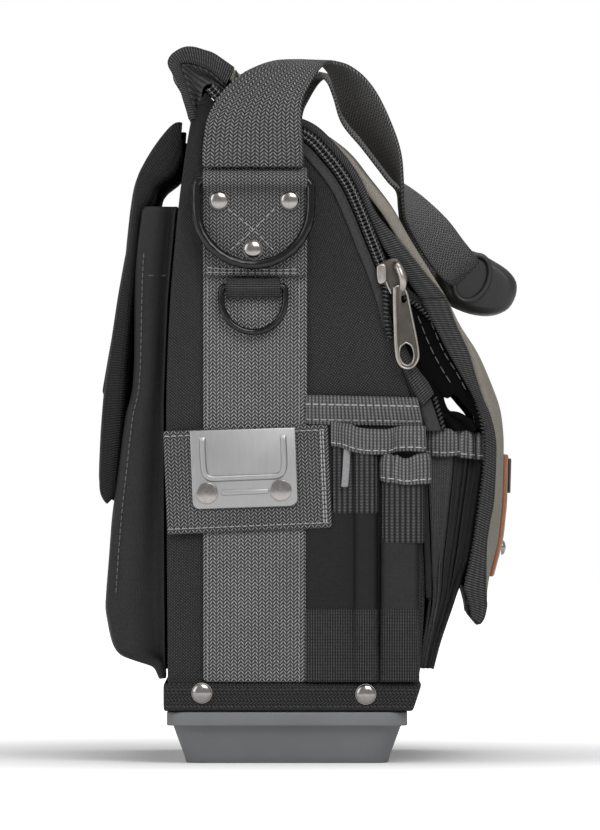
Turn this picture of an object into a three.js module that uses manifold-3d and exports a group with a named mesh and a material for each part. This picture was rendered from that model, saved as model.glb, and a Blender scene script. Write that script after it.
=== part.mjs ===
// A zippered tool bag, standing on its moulded base with its front flap unzipped half way and its
// handle hanging in front. Millimetres, +Z up, front towards -Y. The near side is at -X.
// The origin is the middle of the base's underside.
import * as THREE from 'three';
import Module from 'manifold-3d';
import { mergeVertices } from 'three/addons/utils/BufferGeometryUtils.js';

const wasm = await Module();
wasm.setup();

// The bag as a whole
const bagWidth = 254;
const clothThickness = 2.4;
const clearance = 0.3;

// Layers on a side, measured out from the middle plane of the bag
const sideFace = bagWidth / 2;
const sideBack = sideFace - clothThickness;
const webbingThickness = 2;
const webbingWidth = 48.6;
const strapCentreY = 15.5;
const strapBack = sideFace + clearance;
const strapFace = strapBack + webbingThickness;
const patchBack = strapFace + clearance;

// Moulded base
const tubHeight = 24.5;
const rimHeight = 6.6;
const footHeight = 4;
const floorThickness = 3.5;
const flangeRise = 12;
const flangeWall = 2;
const rimReach = 1.6;
const seatHeight = tubHeight + clearance;
const boardThickness = 3;
const bandThickness = 1.7;
const bandHeight = 13.5;
const bandTop = seatHeight + bandHeight;

// Front mouth and pockets
const mouthHeight = 158.5;
const pocketWall = 1.5;
const pocketHalfWidth = 121;
const sidePocketRise = 16.9;
const pocketHemDepth = 14;
const loopWall = 1.6;
const loopStandOff = 4.9;

// Zip
const chainHalfWidth = 3;
const chainProud = 1.2;
const chainDepth = 3.2;
const zipTravel = 25;
const sliderLength = 17;
const sliderWidth = 15;
const sliderThickness = 3.2;
const bailRise = 5.1;
const eyeStandOff = 2.1;
const eyeRadius = 1.8;
const eyeDrop = 8;
const pullLength = 38;
const pullWidth = 11.4;
const pullLean = 5;
const pullNeckWidth = 7.6;
const pullThickness = 1.6;
const pullHead = 1.3;

// Rings and their webbing
const bigRing = { outerWidth: 59.5, drop: 43.2, wire: 2.5, barZ: 277.7, tilt: 5 };
const smallRing = { outerWidth: 34, drop: 23.8, wire: 1.75, barZ: 227.3, tilt: 0 };
const barClearance = 0.3;
const sleeveWall = 1.6;
const patchThickness = 2.8;
const patchBottom = 231.8;
const smallLoopWidth = 26;

// Rivets
const rivetRadius = 4.8;
const rivetRise = 2.2;
const shankRadius = 1.6;
const backingThickness = 1;

// Tape clip
const clipPatchSize = [78.6, 49.5];
const clipPatchThickness = 1.6;
const clipPatchCentre = [18.3, 135.2];
const clipPatchTilt = 2.4;
const clipPlateSize = [49, 37.5];
const clipPlateCentre = [20.5, 140.8];
const clipPlateThickness = 1.2;
const clipRibRise = 1.1;

// Handle
const handleFootZ = 289;
const handleFootGap = 0.5;
const handleFold = [-21.5, 334.1];
const foldGap = 0.8;
const handleLayer = strapFace + 0.8;
const gripLength = 120;
const gripCentre = [-91.4, 231.1];
const gripHalfSizes = [20, 13.5];
const gripTilt = 24;

// Flaps
const flapPanel = 2.5;
const flapBinding = 2.8;
const flapHinge = [-83.1, 210.8];
const backFlapHalfWidth = 110;
const backPocketHalfWidth = 118;
const backPocketWall = 2;

// Outlines in the plane of the bag's side, as [y, z]. The back edge runs up from the base.
const backEdge = [
  [56.2, seatHeight], [56.4, bandTop + clearance], [57.1, 173], [55.2, 220.6], [51.4, 263.5],
  [49, 282.5], [46.4, 300], [45.6, 304.6],
];
// The zip runs from the ear at the back over the top and down the front edge.
const zipLine = [
  [36, 322], [29, 314.9], [20, 309.5], [5, 304], [-10, 298.7], [-20.5, 288.2], [-26.7, 280.1],
  [-30.9, 273], [-36.7, 259.7], [-40.9, 249.2], [-49.6, 232], [-51.9, 220.6],
  [-59, mouthHeight + 28.8], [-62.8, mouthHeight + sidePocketRise], [-66.2, mouthHeight],
  [-68.5, 110], [-69.5, 77.8],
];
const sliderStation = 10;
const partingGap = 1.8;
const mouthStation = 14;
const frontFoot = [[-62.8, bandTop + clearance], [-58.3, seatHeight]];
const sidePocketHeight = mouthHeight + sidePocketRise;
// The flap's outer edge, with how far the crowned middle stands out beyond it as a third value.
const earEdge = [
  [45.9, 305.6, 0], [46.8, 311.6, 0], [48.1, 315.8, 0], [50, 321.5, 0], [52.4, 326.8, 0],
  [56.2, 333, 0], [55.2, 336.3, 0], [51.9, 339.2, 0], [48.1, 341.1, 0], [43.8, 341.1, 0],
];
const topEdge = [
  [34.7, 338.2, 0.3], [29, 334.4, 0.6], [20.9, 327.5, 1], [6, 317, 1.4], [-8.1, 306.8, 1.6],
  [-27.6, 292.5, 2.4], [-38.4, 279.4, 2.6], [-50, 264.9, 2], [-58.8, 250.2, 1.2], [-67.9, 235.6, 0.6],
  [-77, 221.1, 0.8], [-81.8, 210.8, 1],
];
const frontEdge = [
  [-82.1, 210.2, 1], [-90, 195.9, 2.4], [-94.2, 184.9, 3.4], [-97.5, 173, 3.8], [-99.3, 165.9, 3.6],
  [-100.6, 156, 3], [-100.9, 146.8, 2.6], [-100, 125.4, 3], [-98.1, 115.9, 3.4], [-96.2, 104, 4],
  [-95.9, 87.4, 2], [-95.9, 77.5, 0.4],
];
const frontEdgeFoot = [[-95.9, 75.9], [-94.4, 69.4], [-91.2, 65.7]];
const bindingInnerEdge = [
  [-88.5, 68.8], [-87.9, 73.7], [-85.7, 81.2], [-84.4, 84], [-85, 87.4], [-87.1, 96.9],
  [-89, 106.4], [-91.9, 125.4], [-94.2, 139.7], [-95.2, 151.6], [-94.2, 161.1], [-89, 173],
  [-81.9, 184.9], [-75.7, 195.9],
];
const bindingTop = [[-68.9, 209.1], [-79.8, 209.1]];
// The padded back flap hangs over the back pocket: its outside going down, its inside coming up.
const backFlapHinge = [48.6, 304.4];
const backFlapOutside = [
  [49.4, 304.2], [53.3, 303.6], [61.9, 293], [69, 280.6], [70.9, 273.5], [72.4, 263.5], [74.7, 243],
  [78.5, 221.1], [85.2, 175.4], [86.6, 157.3], [87.6, 135.4], [87.1, 128.3], [83.3, 122.6],
];
const backFlapInside = [
  [81.5, 125.4], [79.7, 142.6], [78.3, 161.1], [76.4, 193.5], [72.6, 230.2], [71.2, 243],
  [68.4, 265.2], [65.5, 265.8], [63.2, 268.5], [62.4, 274.9], [54.3, 280.2], [49.4, 285.4],
  [49.2, 298],
];
const backPocketOutside = [
  [67.1, 264.4], [70, 236.8], [71.4, 183.5], [75.2, 164.5], [78.5, 139.2], [81.4, 115.9],
  [84.3, 79.7], [83.3, 67.8], [80, 54.5], [73.3, 50.7], [64.3, 47.8], [61.4, 45.9], [59, 40.2],
];

const finishes = {
  cloth: new THREE.MeshStandardMaterial({ color: 0x222224, roughness: 0.9, metalness: 0 }),
  greyWebbing: new THREE.MeshStandardMaterial({ color: 0x5c5d60, roughness: 0.85, metalness: 0 }),
  blackWebbing: new THREE.MeshStandardMaterial({ color: 0x1b1b1d, roughness: 0.85, metalness: 0 }),
  canvas: new THREE.MeshStandardMaterial({ color: 0x6f6b60, roughness: 0.9, metalness: 0 }),
  board: new THREE.MeshStandardMaterial({ color: 0x2b2b2d, roughness: 0.7, metalness: 0 }),
  basePlastic: new THREE.MeshStandardMaterial({ color: 0x4b4c4e, roughness: 0.6, metalness: 0 }),
  rubber: new THREE.MeshStandardMaterial({ color: 0x1d1d1f, roughness: 0.5, metalness: 0 }),
  zipCoil: new THREE.MeshStandardMaterial({ color: 0x151517, roughness: 0.45, metalness: 0 }),
  nickel: new THREE.MeshStandardMaterial({ color: 0x7d7a77, roughness: 0.3, metalness: 1 }),
  blackWire: new THREE.MeshStandardMaterial({ color: 0x101011, roughness: 0.2, metalness: 0.6 }),
  steel: new THREE.MeshStandardMaterial({ color: 0xa5a5a4, roughness: 0.35, metalness: 1 }),
  leather: new THREE.MeshStandardMaterial({ color: 0x6a3f33, roughness: 0.6, metalness: 0 }),
};

const toolBag = new THREE.Group();

function add(name, geometry, material, parent = toolBag) {
  const mesh = new THREE.Mesh(geometry, material);
  mesh.name = name;
  parent.add(mesh);
  return mesh;
}

// A closed solid from points and faces, turned right side out if its volume comes out negative.
function closedSolid(points, triangles) {
  let volume = 0;
  const side = new THREE.Vector3();
  for (const [a, b, c] of triangles) {
    volume += points[a].dot(side.crossVectors(points[b], points[c]));
  }
  const faces = volume < 0 ? triangles.map(([a, b, c]) => [a, c, b]) : triangles;
  const geometry = new THREE.BufferGeometry().setFromPoints(points);
  geometry.setIndex(faces.flat());
  return geometry;
}

function quad(a, b, c, d) {
  return [[a, b, c], [a, c, d]];
}

// The same piece on the far side of the bag.
function mirrored(geometry) {
  const copy = geometry.index ? geometry.toNonIndexed() : geometry.clone();
  copy.scale(-1, 1, 1);
  const place = copy.getAttribute('position');
  for (let corner = 0; corner < place.count; corner += 3) {
    const second = new THREE.Vector3().fromBufferAttribute(place, corner + 1);
    const third = new THREE.Vector3().fromBufferAttribute(place, corner + 2);
    place.setXYZ(corner + 1, third.x, third.y, third.z);
    place.setXYZ(corner + 2, second.x, second.y, second.z);
  }
  return copy;
}

function addPair(name, geometry, material) {
  add(`${name}_near`, geometry, material);
  add(`${name}_far`, mirrored(geometry), material);
}

function toManifold(geometry) {
  const bare = geometry.clone();
  bare.deleteAttribute('normal');
  bare.deleteAttribute('uv');
  const merged = mergeVertices(bare, 1e-4);
  const vertProperties = new Float32Array(merged.getAttribute('position').array);
  const triVerts = new Uint32Array(merged.index.array);
  return new wasm.Manifold(new wasm.Mesh({ numProp: 3, vertProperties, triVerts }));
}

function fromManifold(solid) {
  const mesh = solid.getMesh();
  const geometry = new THREE.BufferGeometry();
  geometry.setAttribute('position', new THREE.BufferAttribute(mesh.vertProperties, 3));
  geometry.setIndex(new THREE.BufferAttribute(mesh.triVerts, 1));
  return geometry;
}

function joined(first, ...others) {
  return fromManifold(others.reduce((sum, next) => sum.add(toManifold(next)), toManifold(first)));
}

function without(first, ...tools) {
  return fromManifold(tools.reduce((rest, tool) => rest.subtract(toManifold(tool)), toManifold(first)));
}

// An outline of [y, z] points, extruded along X.
function sidePrism(outline, x0, x1) {
  const shape = new THREE.Shape(outline.map(([y, z]) => new THREE.Vector2(y, z)));
  const geometry = new THREE.ExtrudeGeometry(shape, { depth: x1 - x0, bevelEnabled: false });
  const across = new THREE.Vector3(0, 1, 0);
  const up = new THREE.Vector3(0, 0, 1);
  geometry.applyMatrix4(new THREE.Matrix4().makeBasis(across, up, new THREE.Vector3(1, 0, 0)));
  return geometry.translate(x0, 0, 0);
}

// The same on the near side, from one distance off the middle plane to another.
function nearPrism(outline, from, to) {
  return sidePrism(outline, -to, -from);
}

function fullPrism(outline, halfWidth) {
  return sidePrism(outline, -halfWidth, halfWidth);
}

// A line moved sideways, to the left of its travel, with mitred corners.
function offsetLine(line, distance) {
  return line.map(([y, z], i) => {
    const from = line[Math.max(i - 1, 0)];
    const to = line[Math.min(i + 1, line.length - 1)];
    const arrive = i > 0 ? [y - from[0], z - from[1]] : [to[0] - y, to[1] - z];
    const leave = i < line.length - 1 ? [to[0] - y, to[1] - z] : arrive;
    const first = new THREE.Vector2(-arrive[1], arrive[0]).normalize();
    const second = new THREE.Vector2(-leave[1], leave[0]).normalize();
    const mitre = first.clone().add(second).normalize();
    const reach = distance / Math.max(mitre.dot(first), 0.5);
    return [y + mitre.x * reach, z + mitre.y * reach];
  });
}

// A band of cloth between two offsets of a line, as an outline.
function stripOutline(line, near, far) {
  return [...offsetLine(line, near), ...offsetLine(line, far).reverse()];
}

function rectangle(y0, y1, z0, z1) {
  return [[y0, z0], [y1, z0], [y1, z1], [y0, z1]];
}

function circleOutline(y, z, radius, steps = 20) {
  return Array.from({ length: steps }, (_, i) => {
    const turn = (i / steps) * Math.PI * 2;
    return [y + radius * Math.cos(turn), z + radius * Math.sin(turn)];
  });
}

// A rectangle in plan with rounded corners, at one height.
function roundedRing(halfWidth, y0, y1, radius, z) {
  const centres = [[halfWidth, y1], [-halfWidth, y1], [-halfWidth, y0], [halfWidth, y0]];
  const steps = 4;
  return centres.flatMap(([x, y], corner) => Array.from({ length: steps + 1 }, (_, i) => {
    const turn = (corner + i / steps) * Math.PI / 2;
    const middleX = x - Math.sign(x) * radius;
    const middleY = (corner < 2 ? y1 - radius : y0 + radius);
    return new THREE.Vector3(middleX + radius * Math.cos(turn), middleY + radius * Math.sin(turn), z);
  }));
}

function ringWalls(rings, closes) {
  const count = rings[0].length;
  const walls = [];
  const last = closes ? rings.length : rings.length - 1;
  for (let r = 0; r < last; r += 1) {
    const lower = r * count;
    const upper = ((r + 1) % rings.length) * count;
    for (let i = 0; i < count; i += 1) {
      const next = (i + 1) % count;
      walls.push(...quad(lower + i, lower + next, upper + next, upper + i));
    }
  }
  return walls;
}

// Rings joined one to the next and back to the first, such as a band.
function loopSolid(rings) {
  return closedSolid(rings.flat(), ringWalls(rings, true));
}

// Rings joined one to the next, with a flat cap on the first and on the last.
function cappedSolid(rings) {
  const points = rings.flat();
  const count = rings[0].length;
  const faces = ringWalls(rings, false);
  const start = points.length - count;
  for (let i = 1; i < count - 1; i += 1) {
    faces.push([0, i + 1, i]);
    faces.push([start, start + i, start + i + 1]);
  }
  return closedSolid(points, faces);
}

// A sheet between two grids of points with the same rows and columns.
function sheetSolid(front, back) {
  const rows = front.length;
  const columns = front[0].length;
  const points = [...front.flat(), ...back.flat()];
  const at = (layer, row, column) => (layer * rows + row) * columns + column;
  const faces = [];
  for (let r = 0; r < rows - 1; r += 1) {
    for (let c = 0; c < columns - 1; c += 1) {
      faces.push(...quad(at(0, r, c), at(0, r, c + 1), at(0, r + 1, c + 1), at(0, r + 1, c)));
      faces.push(...quad(at(1, r, c), at(1, r + 1, c), at(1, r + 1, c + 1), at(1, r, c + 1)));
    }
  }
  const end = columns - 1;
  for (let r = 0; r < rows - 1; r += 1) {
    faces.push(...quad(at(0, r, 0), at(0, r + 1, 0), at(1, r + 1, 0), at(1, r, 0)));
    faces.push(...quad(at(0, r, end), at(1, r, end), at(1, r + 1, end), at(0, r + 1, end)));
  }
  const foot = rows - 1;
  for (let c = 0; c < columns - 1; c += 1) {
    faces.push(...quad(at(0, 0, c), at(1, 0, c), at(1, 0, c + 1), at(0, 0, c + 1)));
    faces.push(...quad(at(0, foot, c), at(0, foot, c + 1), at(1, foot, c + 1), at(1, foot, c)));
  }
  return closedSolid(points, faces);
}

// A panel that follows an edge line and stands out in its middle, by each point's third value.
function crownedPanel(edge, thickness, halfWidth, columns = 8) {
  const line = edge.map(([y, z]) => [y, z]);
  const layer = (depth) => edge.map((point, row) => Array.from({ length: columns + 1 }, (_, c) => {
    const across = (c / columns) * 2 - 1;
    const rise = point[2] * (1 - across * across);
    const [y, z] = offsetLine(line, depth - rise)[row];
    return new THREE.Vector3(across * halfWidth, y, z);
  }));
  return sheetSolid(layer(0), layer(thickness));
}

// A flat strap between two edges, each point an [x, y, z].
function strap(edges, thickness) {
  const near = edges.map(([a]) => new THREE.Vector3(...a));
  const far = edges.map(([, b]) => new THREE.Vector3(...b));
  const middle = near.map((point, i) => point.clone().add(far[i]).multiplyScalar(0.5));
  const normals = middle.map((point, i) => {
    const travel = middle[Math.min(i + 1, middle.length - 1)].clone().sub(middle[Math.max(i - 1, 0)]);
    return travel.cross(far[i].clone().sub(near[i])).normalize();
  });
  const layer = (offset) => near.map((point, i) => [point, far[i]].map(
    (corner) => corner.clone().addScaledVector(normals[i], offset)));
  return sheetSolid(layer(thickness / 2), layer(-thickness / 2));
}

// A closed wire bent in the plane of the side, through [y, z] points.
function wireLoop(line, radius, sides = 8) {
  const count = line.length;
  const rings = line.map(([y, z], i) => {
    const from = line[(i + count - 1) % count];
    const to = line[(i + 1) % count];
    const arrive = new THREE.Vector2(y - from[0], z - from[1]).normalize();
    const leave = new THREE.Vector2(to[0] - y, to[1] - z).normalize();
    const mitre = new THREE.Vector2(-arrive.y - leave.y, arrive.x + leave.x).normalize();
    const stretch = 1 / mitre.dot(new THREE.Vector2(-arrive.y, arrive.x));
    return Array.from({ length: sides }, (_, s) => {
      const turn = ((s + 0.5) / sides) * Math.PI * 2;
      const inPlane = Math.cos(turn) * radius * stretch;
      return new THREE.Vector3(Math.sin(turn) * radius, y + mitre.x * inPlane, z + mitre.y * inPlane);
    });
  });
  return loopSolid(rings);
}

// A bar or bore along Y at an x and z.
function barAlongY(x, z, radius, y0, y1, sides = 16) {
  const geometry = new THREE.CylinderGeometry(radius, radius, y1 - y0, sides);
  return geometry.translate(x, (y0 + y1) / 2, z);
}

// A domed rivet whose head's underside lies at a distance off the middle plane, on the near side.
function rivet(y, z, headSeat, shankEnd, radius = rivetRadius) {
  const profile = [
    [0, rivetRise], [radius * 0.5, rivetRise * 0.88], [radius * 0.84, rivetRise * 0.5],
    [radius, rivetRise * 0.12], [radius, 0], [shankRadius, 0], [shankRadius, shankEnd - headSeat],
    [0, shankEnd - headSeat],
  ];
  const points = profile.map(([r, h]) => new THREE.Vector2(r, h)).reverse();
  const geometry = new THREE.LatheGeometry(points, 20);
  geometry.rotateZ(Math.PI / 2);
  return geometry.translate(-headSeat, y, z);
}

function shankHole(y, z) {
  return nearPrism(circleOutline(y, z, shankRadius + clearance, 12), sideBack - 10, sideFace + 20);
}

function drilled(geometry, places) {
  return without(geometry, ...places.map(([y, z]) => shankHole(y, z)));
}

// The point at a distance from one point on the way to another.
function offsetPoint(from, to, distance) {
  const start = new THREE.Vector2(...from);
  const travel = new THREE.Vector2(...to).sub(start).setLength(1);
  return start.addScaledVector(travel, distance).toArray();
}

// Where a line crosses a height, by the stretch that spans it.
function lineAt(line, height) {
  for (let i = 0; i < line.length - 1; i += 1) {
    const [y0, z0] = line[i];
    const [y1, z1] = line[i + 1];
    if (Math.min(z0, z1) <= height && height <= Math.max(z0, z1)) {
      return y0 + ((y1 - y0) * (height - z0)) / (z1 - z0);
    }
  }
  throw new Error(`the line does not reach ${height}`);
}

// Rivet places on a side
const baseRivets = [[40, 33.6], [-38, 33]];
const ringRivets = [
  [strapCentreY + 16.4, 268], [strapCentreY - 17.4, 268], [strapCentreY + 0.2, 244.5],
];
const clipRivets = [[37.6, 128.8], [2.4, 129.7]];

const frontLine = [...zipLine, ...frontFoot];
const chainEdge = chainHalfWidth + clearance;
const panelRim = offsetLine(zipLine, chainEdge);

// Moulded tub: a foot, a tapered wall, a ledge that the body stands on and a flange inside the body.
function buildTub() {
  const flangeBack = lineAt(backEdge, seatHeight) - clothThickness - clearance;
  const flangeFront = frontFoot[1][0] + clothThickness + clearance;
  const flangeSide = sideBack - clearance;
  const flangeTop = tubHeight + flangeRise;
  const rimZ = tubHeight - rimHeight;
  const rimSide = sideFace + rimReach;
  const wallDrop = 2;
  const inside = (z) => roundedRing(
    flangeSide - flangeWall, flangeFront + flangeWall, flangeBack - flangeWall, 3, z);
  const rings = [
    roundedRing(sideFace - 9, -48.6, 50, 10, 0),
    roundedRing(sideFace - 6.5, -49.5, 51.4, 10, footHeight),
    roundedRing(sideFace - 2.5, -54.3, 54.3, 8, rimZ),
    roundedRing(rimSide, -57.9, 56.8, 6, rimZ),
    roundedRing(rimSide, -57.9, 56.8, 6, tubHeight),
    roundedRing(flangeSide, flangeFront, flangeBack, 5, tubHeight),
    roundedRing(flangeSide, flangeFront, flangeBack, 5, flangeTop),
    inside(flangeTop),
    inside(rimZ + wallDrop),
    roundedRing(sideFace - 9, -47, 48.5, 8, floorThickness + boardThickness + 1),
    roundedRing(sideFace - 9, -47, 48.5, 8, floorThickness),
  ];
  const tub = cappedSolid(rings);
  const bores = baseRivets.flatMap(([y, z]) => [shankHole(y, z), mirrored(shankHole(y, z))]);
  return without(tub, ...bores);
}

function buildBaseBoard() {
  const low = floorThickness + clearance;
  const side = sideFace - 9 - 1;
  return cappedSolid([
    roundedRing(side, -46, 47.5, 7, low), roundedRing(side, -46, 47.5, 7, low + boardThickness),
  ]);
}

// A band of webbing right round the foot of the body, on the tub's ledge.
function buildBaseBand() {
  const ring = (grow, z, front, radius) => roundedRing(
    strapBack + grow, front - clearance - grow, 56.4 + clearance + grow, radius, z);
  const bottomFront = frontFoot[1][0];
  const topFront = frontFoot[0][0];
  const band = loopSolid([
    ring(bandThickness, seatHeight, bottomFront, 1.6), ring(bandThickness, bandTop, topFront, 1.6),
    ring(0, bandTop, topFront, 0.2), ring(0, seatHeight, bottomFront, 0.2),
  ]);
  const holes = baseRivets.flatMap(([y, z]) => [shankHole(y, z), mirrored(shankHole(y, z))]);
  return without(band, ...holes);
}

function buildBaseRivets() {
  const inside = sideBack - clearance - flangeWall - clearance;
  const strip = nearPrism(rectangle(-44, 46, 28, 36), inside - backingThickness, inside);
  const headSeat = strapBack + bandThickness + clearance;
  const shankEnd = inside - backingThickness / 2;
  return joined(strip, ...baseRivets.map(([y, z]) => rivet(y, z, headSeat, shankEnd)));
}

add('base_tub', buildTub(), finishes.basePlastic);
add('base_board', buildBaseBoard(), finishes.board);
add('base_band', buildBaseBand(), finishes.blackWebbing);
addPair('base_rivets', buildBaseRivets(), finishes.steel);

// Body panels
function sidePanelOutline() {
  return [...backEdge, ...panelRim, ...frontFoot];
}

const backPanel = stripOutline(backEdge, 0, clothThickness);
const stiffenerFoot = 48;
const stiffenerLine = [[lineAt(backEdge, stiffenerFoot), stiffenerFoot], ...backEdge.slice(2, 6)];
const stiffener = stripOutline(stiffenerLine, clothThickness + clearance, clothThickness + clearance + 2);
const frontPanel = stripOutline([...zipLine.slice(mouthStation), ...frontFoot], 0, clothThickness);
const panelHalf = sideBack - clearance;

add('back_panel', fullPrism(backPanel, panelHalf), finishes.cloth);
add('back_stiffener', fullPrism(stiffener, sideBack - 9), finishes.board);
add('front_panel', fullPrism(frontPanel, panelHalf), finishes.cloth);

const sidePanel = nearPrism(sidePanelOutline(), sideBack, sideFace);
add('side_panel_near', drilled(sidePanel, [...baseRivets, ...ringRivets, ...clipRivets]), finishes.cloth);
add('side_panel_far', mirrored(drilled(sidePanel, [...baseRivets, ...ringRivets])), finishes.cloth);

// Zip: the closed chain above the slider, and the body's half of it below.
const closedLine = zipLine.slice(0, sliderStation + 1);
const openStart = offsetPoint(zipLine[sliderStation], zipLine[sliderStation + 1], partingGap);
const openLine = [openStart, ...zipLine.slice(sliderStation + 1)];

const chainFace = sideFace + chainProud;
const chainBack = chainFace - chainDepth;
const chainOutline = stripOutline(closedLine, -chainHalfWidth, chainHalfWidth);
const openTapeOutline = stripOutline(openLine, 0, chainHalfWidth);
addPair('zip_chain', nearPrism(chainOutline, chainBack, chainFace), finishes.zipCoil);
addPair('zip_tape_body', nearPrism(openTapeOutline, chainBack, chainFace - clearance), finishes.zipCoil);

// Top of the flap: a crowned panel whose side gussets come down to the zip.
function topGussetOutline() {
  const edge = [...earEdge, ...topEdge].map(([y, z]) => [y, z]);
  const zipSide = offsetLine(closedLine, -chainEdge);
  const start = closedLine[0];
  const before = offsetPoint(start, closedLine[1], -clearance - 0.2);
  const around = offsetLine([before, start], chainEdge)[0];
  const corner = offsetLine([before, start], -chainEdge)[0];
  const underSlider = [[-55.5, 235.6], [-64.3, 221.1], [-68.1, 210.9]];
  const rim = [...underSlider.reverse(), ...zipSide.slice(1, -1).reverse(), corner, around];
  return [...edge, ...rim];
}

function buildFlapTop() {
  const shell = crownedPanel([...earEdge, ...topEdge], flapPanel, sideBack - clearance / 2);
  const gusset = nearPrism(topGussetOutline(), sideFace - flapBinding, sideFace);
  return joined(shell, gusset, mirrored(gusset));
}

add('flap_top', buildFlapTop(), finishes.canvas);

// Webbing on the sides
const strapEdges = [strapCentreY - webbingWidth / 2, strapCentreY + webbingWidth / 2];
const strapTop = handleFootZ - 7;
const sideStrap = nearPrism(
  rectangle(strapEdges[0], strapEdges[1], bandTop + clearance, strapTop), strapBack, strapFace);
add('side_strap_near', drilled(sideStrap, [...ringRivets, ...clipRivets]), finishes.greyWebbing);
add('side_strap_far', mirrored(drilled(sideStrap, ringRivets)), finishes.greyWebbing);

// A webbing patch folded round the bar of a ring.
function ringSleeve(ring, width, plateThickness, bottom) {
  const bore = ring.wire + barClearance;
  const outer = bore + sleeveWall;
  const x = -(patchBack + outer);
  const y0 = strapCentreY - width / 2;
  const y1 = strapCentreY + width / 2;
  const plate = nearPrism(rectangle(y0, y1, bottom, ring.barZ), patchBack, patchBack + plateThickness);
  const sleeve = barAlongY(x, ring.barZ, outer, y0, y1, 20);
  return without(joined(plate, sleeve), barAlongY(x, ring.barZ, bore, y0 - 1, y1 + 1, 20));
}

function ringLine(ring) {
  const half = ring.outerWidth / 2 - ring.wire;
  const legFoot = -(ring.drop - ring.wire - half);
  const corner = ring.wire * 1.4;
  const bend = (side) => [0, 30, 60, 90].map((angle) => {
    const turn = THREE.MathUtils.degToRad(angle);
    return [side * (half - corner + corner * Math.sin(turn)), -corner + corner * Math.cos(turn)];
  });
  const bow = Array.from({ length: 15 }, (_, i) => {
    const turn = (i / 14) * Math.PI;
    return [half * Math.cos(turn), legFoot - half * Math.sin(turn)];
  });
  return [...bend(-1).reverse(), ...bend(1), ...bow];
}

// The ring hangs in a group at its bar, tilted out over the rivets below it.
function addRing(name, ring, side) {
  const x = patchBack + ring.wire + barClearance + sleeveWall;
  const hanger = new THREE.Group();
  hanger.position.set(side * x, strapCentreY, ring.barZ);
  hanger.rotation.y = THREE.MathUtils.degToRad(-side * ring.tilt);
  toolBag.add(hanger);
  add(name, wireLoop(ringLine(ring), ring.wire), finishes.blackWire, hanger);
}

const ringPatch = drilled(ringSleeve(bigRing, webbingWidth, patchThickness, patchBottom), ringRivets);
addPair('d_ring_patch', ringPatch, finishes.greyWebbing);
const smallLoop = ringSleeve(smallRing, smallLoopWidth, 1.6, smallRing.barZ - 3.4);
addPair('small_ring_loop', smallLoop, finishes.blackWebbing);
addRing('d_ring_near', bigRing, -1);
addRing('d_ring_far', bigRing, 1);
addRing('small_ring_near', smallRing, -1);
addRing('small_ring_far', smallRing, 1);

function buildRingRivets() {
  const inside = sideBack - clearance;
  const plate = nearPrism(rectangle(-8, 39, 239, 274), inside - backingThickness, inside);
  const headSeat = patchBack + patchThickness + clearance;
  const shankEnd = inside - backingThickness / 2;
  return joined(plate, ...ringRivets.map(([y, z]) => rivet(y, z, headSeat, shankEnd, 4.4)));
}

addPair('d_ring_rivets', buildRingRivets(), finishes.steel);

// Tape clip on its tilted patch, near side only
function tiltedOutline(points, centre) {
  const middle = new THREE.Vector2(...centre);
  const turn = -THREE.MathUtils.degToRad(clipPatchTilt);
  return points.map(([y, z]) => new THREE.Vector2(y, z).add(middle).rotateAround(middle, turn).toArray());
}

function clipPlateOutline() {
  const [width, height] = clipPlateSize;
  const y = width / 2;
  const z = height / 2;
  const cut = 4;
  return [[-y, z], [-y, -z + cut], [-y + cut, -z], [y - cut, -z], [y, -z + cut], [y, z]];
}

function buildClipPlate() {
  const back = patchBack + clipPatchThickness + clearance;
  const face = back + clipPlateThickness;
  const ribHalf = 20;
  const rib = [[-ribHalf, 16], [-ribHalf + 1.5, -3.5], [ribHalf - 1.5, -3.5], [ribHalf, 16]];
  const ribBand = stripOutline(rib, -1.6, 1.6);
  const plate = nearPrism(tiltedOutline(clipPlateOutline(), clipPlateCentre), back, face);
  const ridge = nearPrism(tiltedOutline(ribBand, clipPlateCentre), face - 0.4, face + clipRibRise);
  return drilled(joined(plate, ridge), clipRivets);
}

function buildClipRivets() {
  const inside = sideBack - clearance;
  const plate = nearPrism(rectangle(-4, 44, 123, 135), inside - backingThickness, inside);
  const headSeat = patchBack + clipPatchThickness + clearance + clipPlateThickness + clearance;
  return joined(plate, ...clipRivets.map(
    ([y, z]) => rivet(y, z, headSeat, inside - backingThickness / 2, 4.5)));
}

const [clipPatchY, clipPatchZ] = clipPatchSize.map((size) => size / 2);
const clipPatchOutline = tiltedOutline(
  rectangle(-clipPatchY, clipPatchY, -clipPatchZ, clipPatchZ), clipPatchCentre);
const clipPatch = nearPrism(clipPatchOutline, patchBack, patchBack + clipPatchThickness);
add('clip_patch', drilled(clipPatch, clipRivets), finishes.greyWebbing);
add('tape_clip', buildClipPlate(), finishes.steel);
add('clip_rivets', buildClipRivets(), finishes.steel);

// Flat pocket in front of the strap, and the two tool loops that stand out over it
const rimInside = offsetLine(frontLine, chainEdge + 1);
const pocketBottom = bandTop + clearance;
const pocketBack = strapEdges[0] - clearance;

function sidePocketOutline() {
  const front = [sidePocketHeight, mouthHeight, 110, 78, pocketBottom];
  return [
    [pocketBack, pocketBottom], [pocketBack, sidePocketHeight],
    ...front.map((height) => [lineAt(rimInside, height), height]),
  ];
}

function toolLoop(outline) {
  const back = strapBack + loopWall + clearance;
  const inner = offsetLine(outline, -loopWall);
  const cavity = inner.map(([y, z], i) => (i === 0 || i === outline.length - 1 ? [y, z + 30] : [y, z]));
  const block = nearPrism(outline, back, back + loopStandOff + loopWall);
  return without(block, nearPrism(cavity, back - 1, back + loopStandOff));
}

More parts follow.
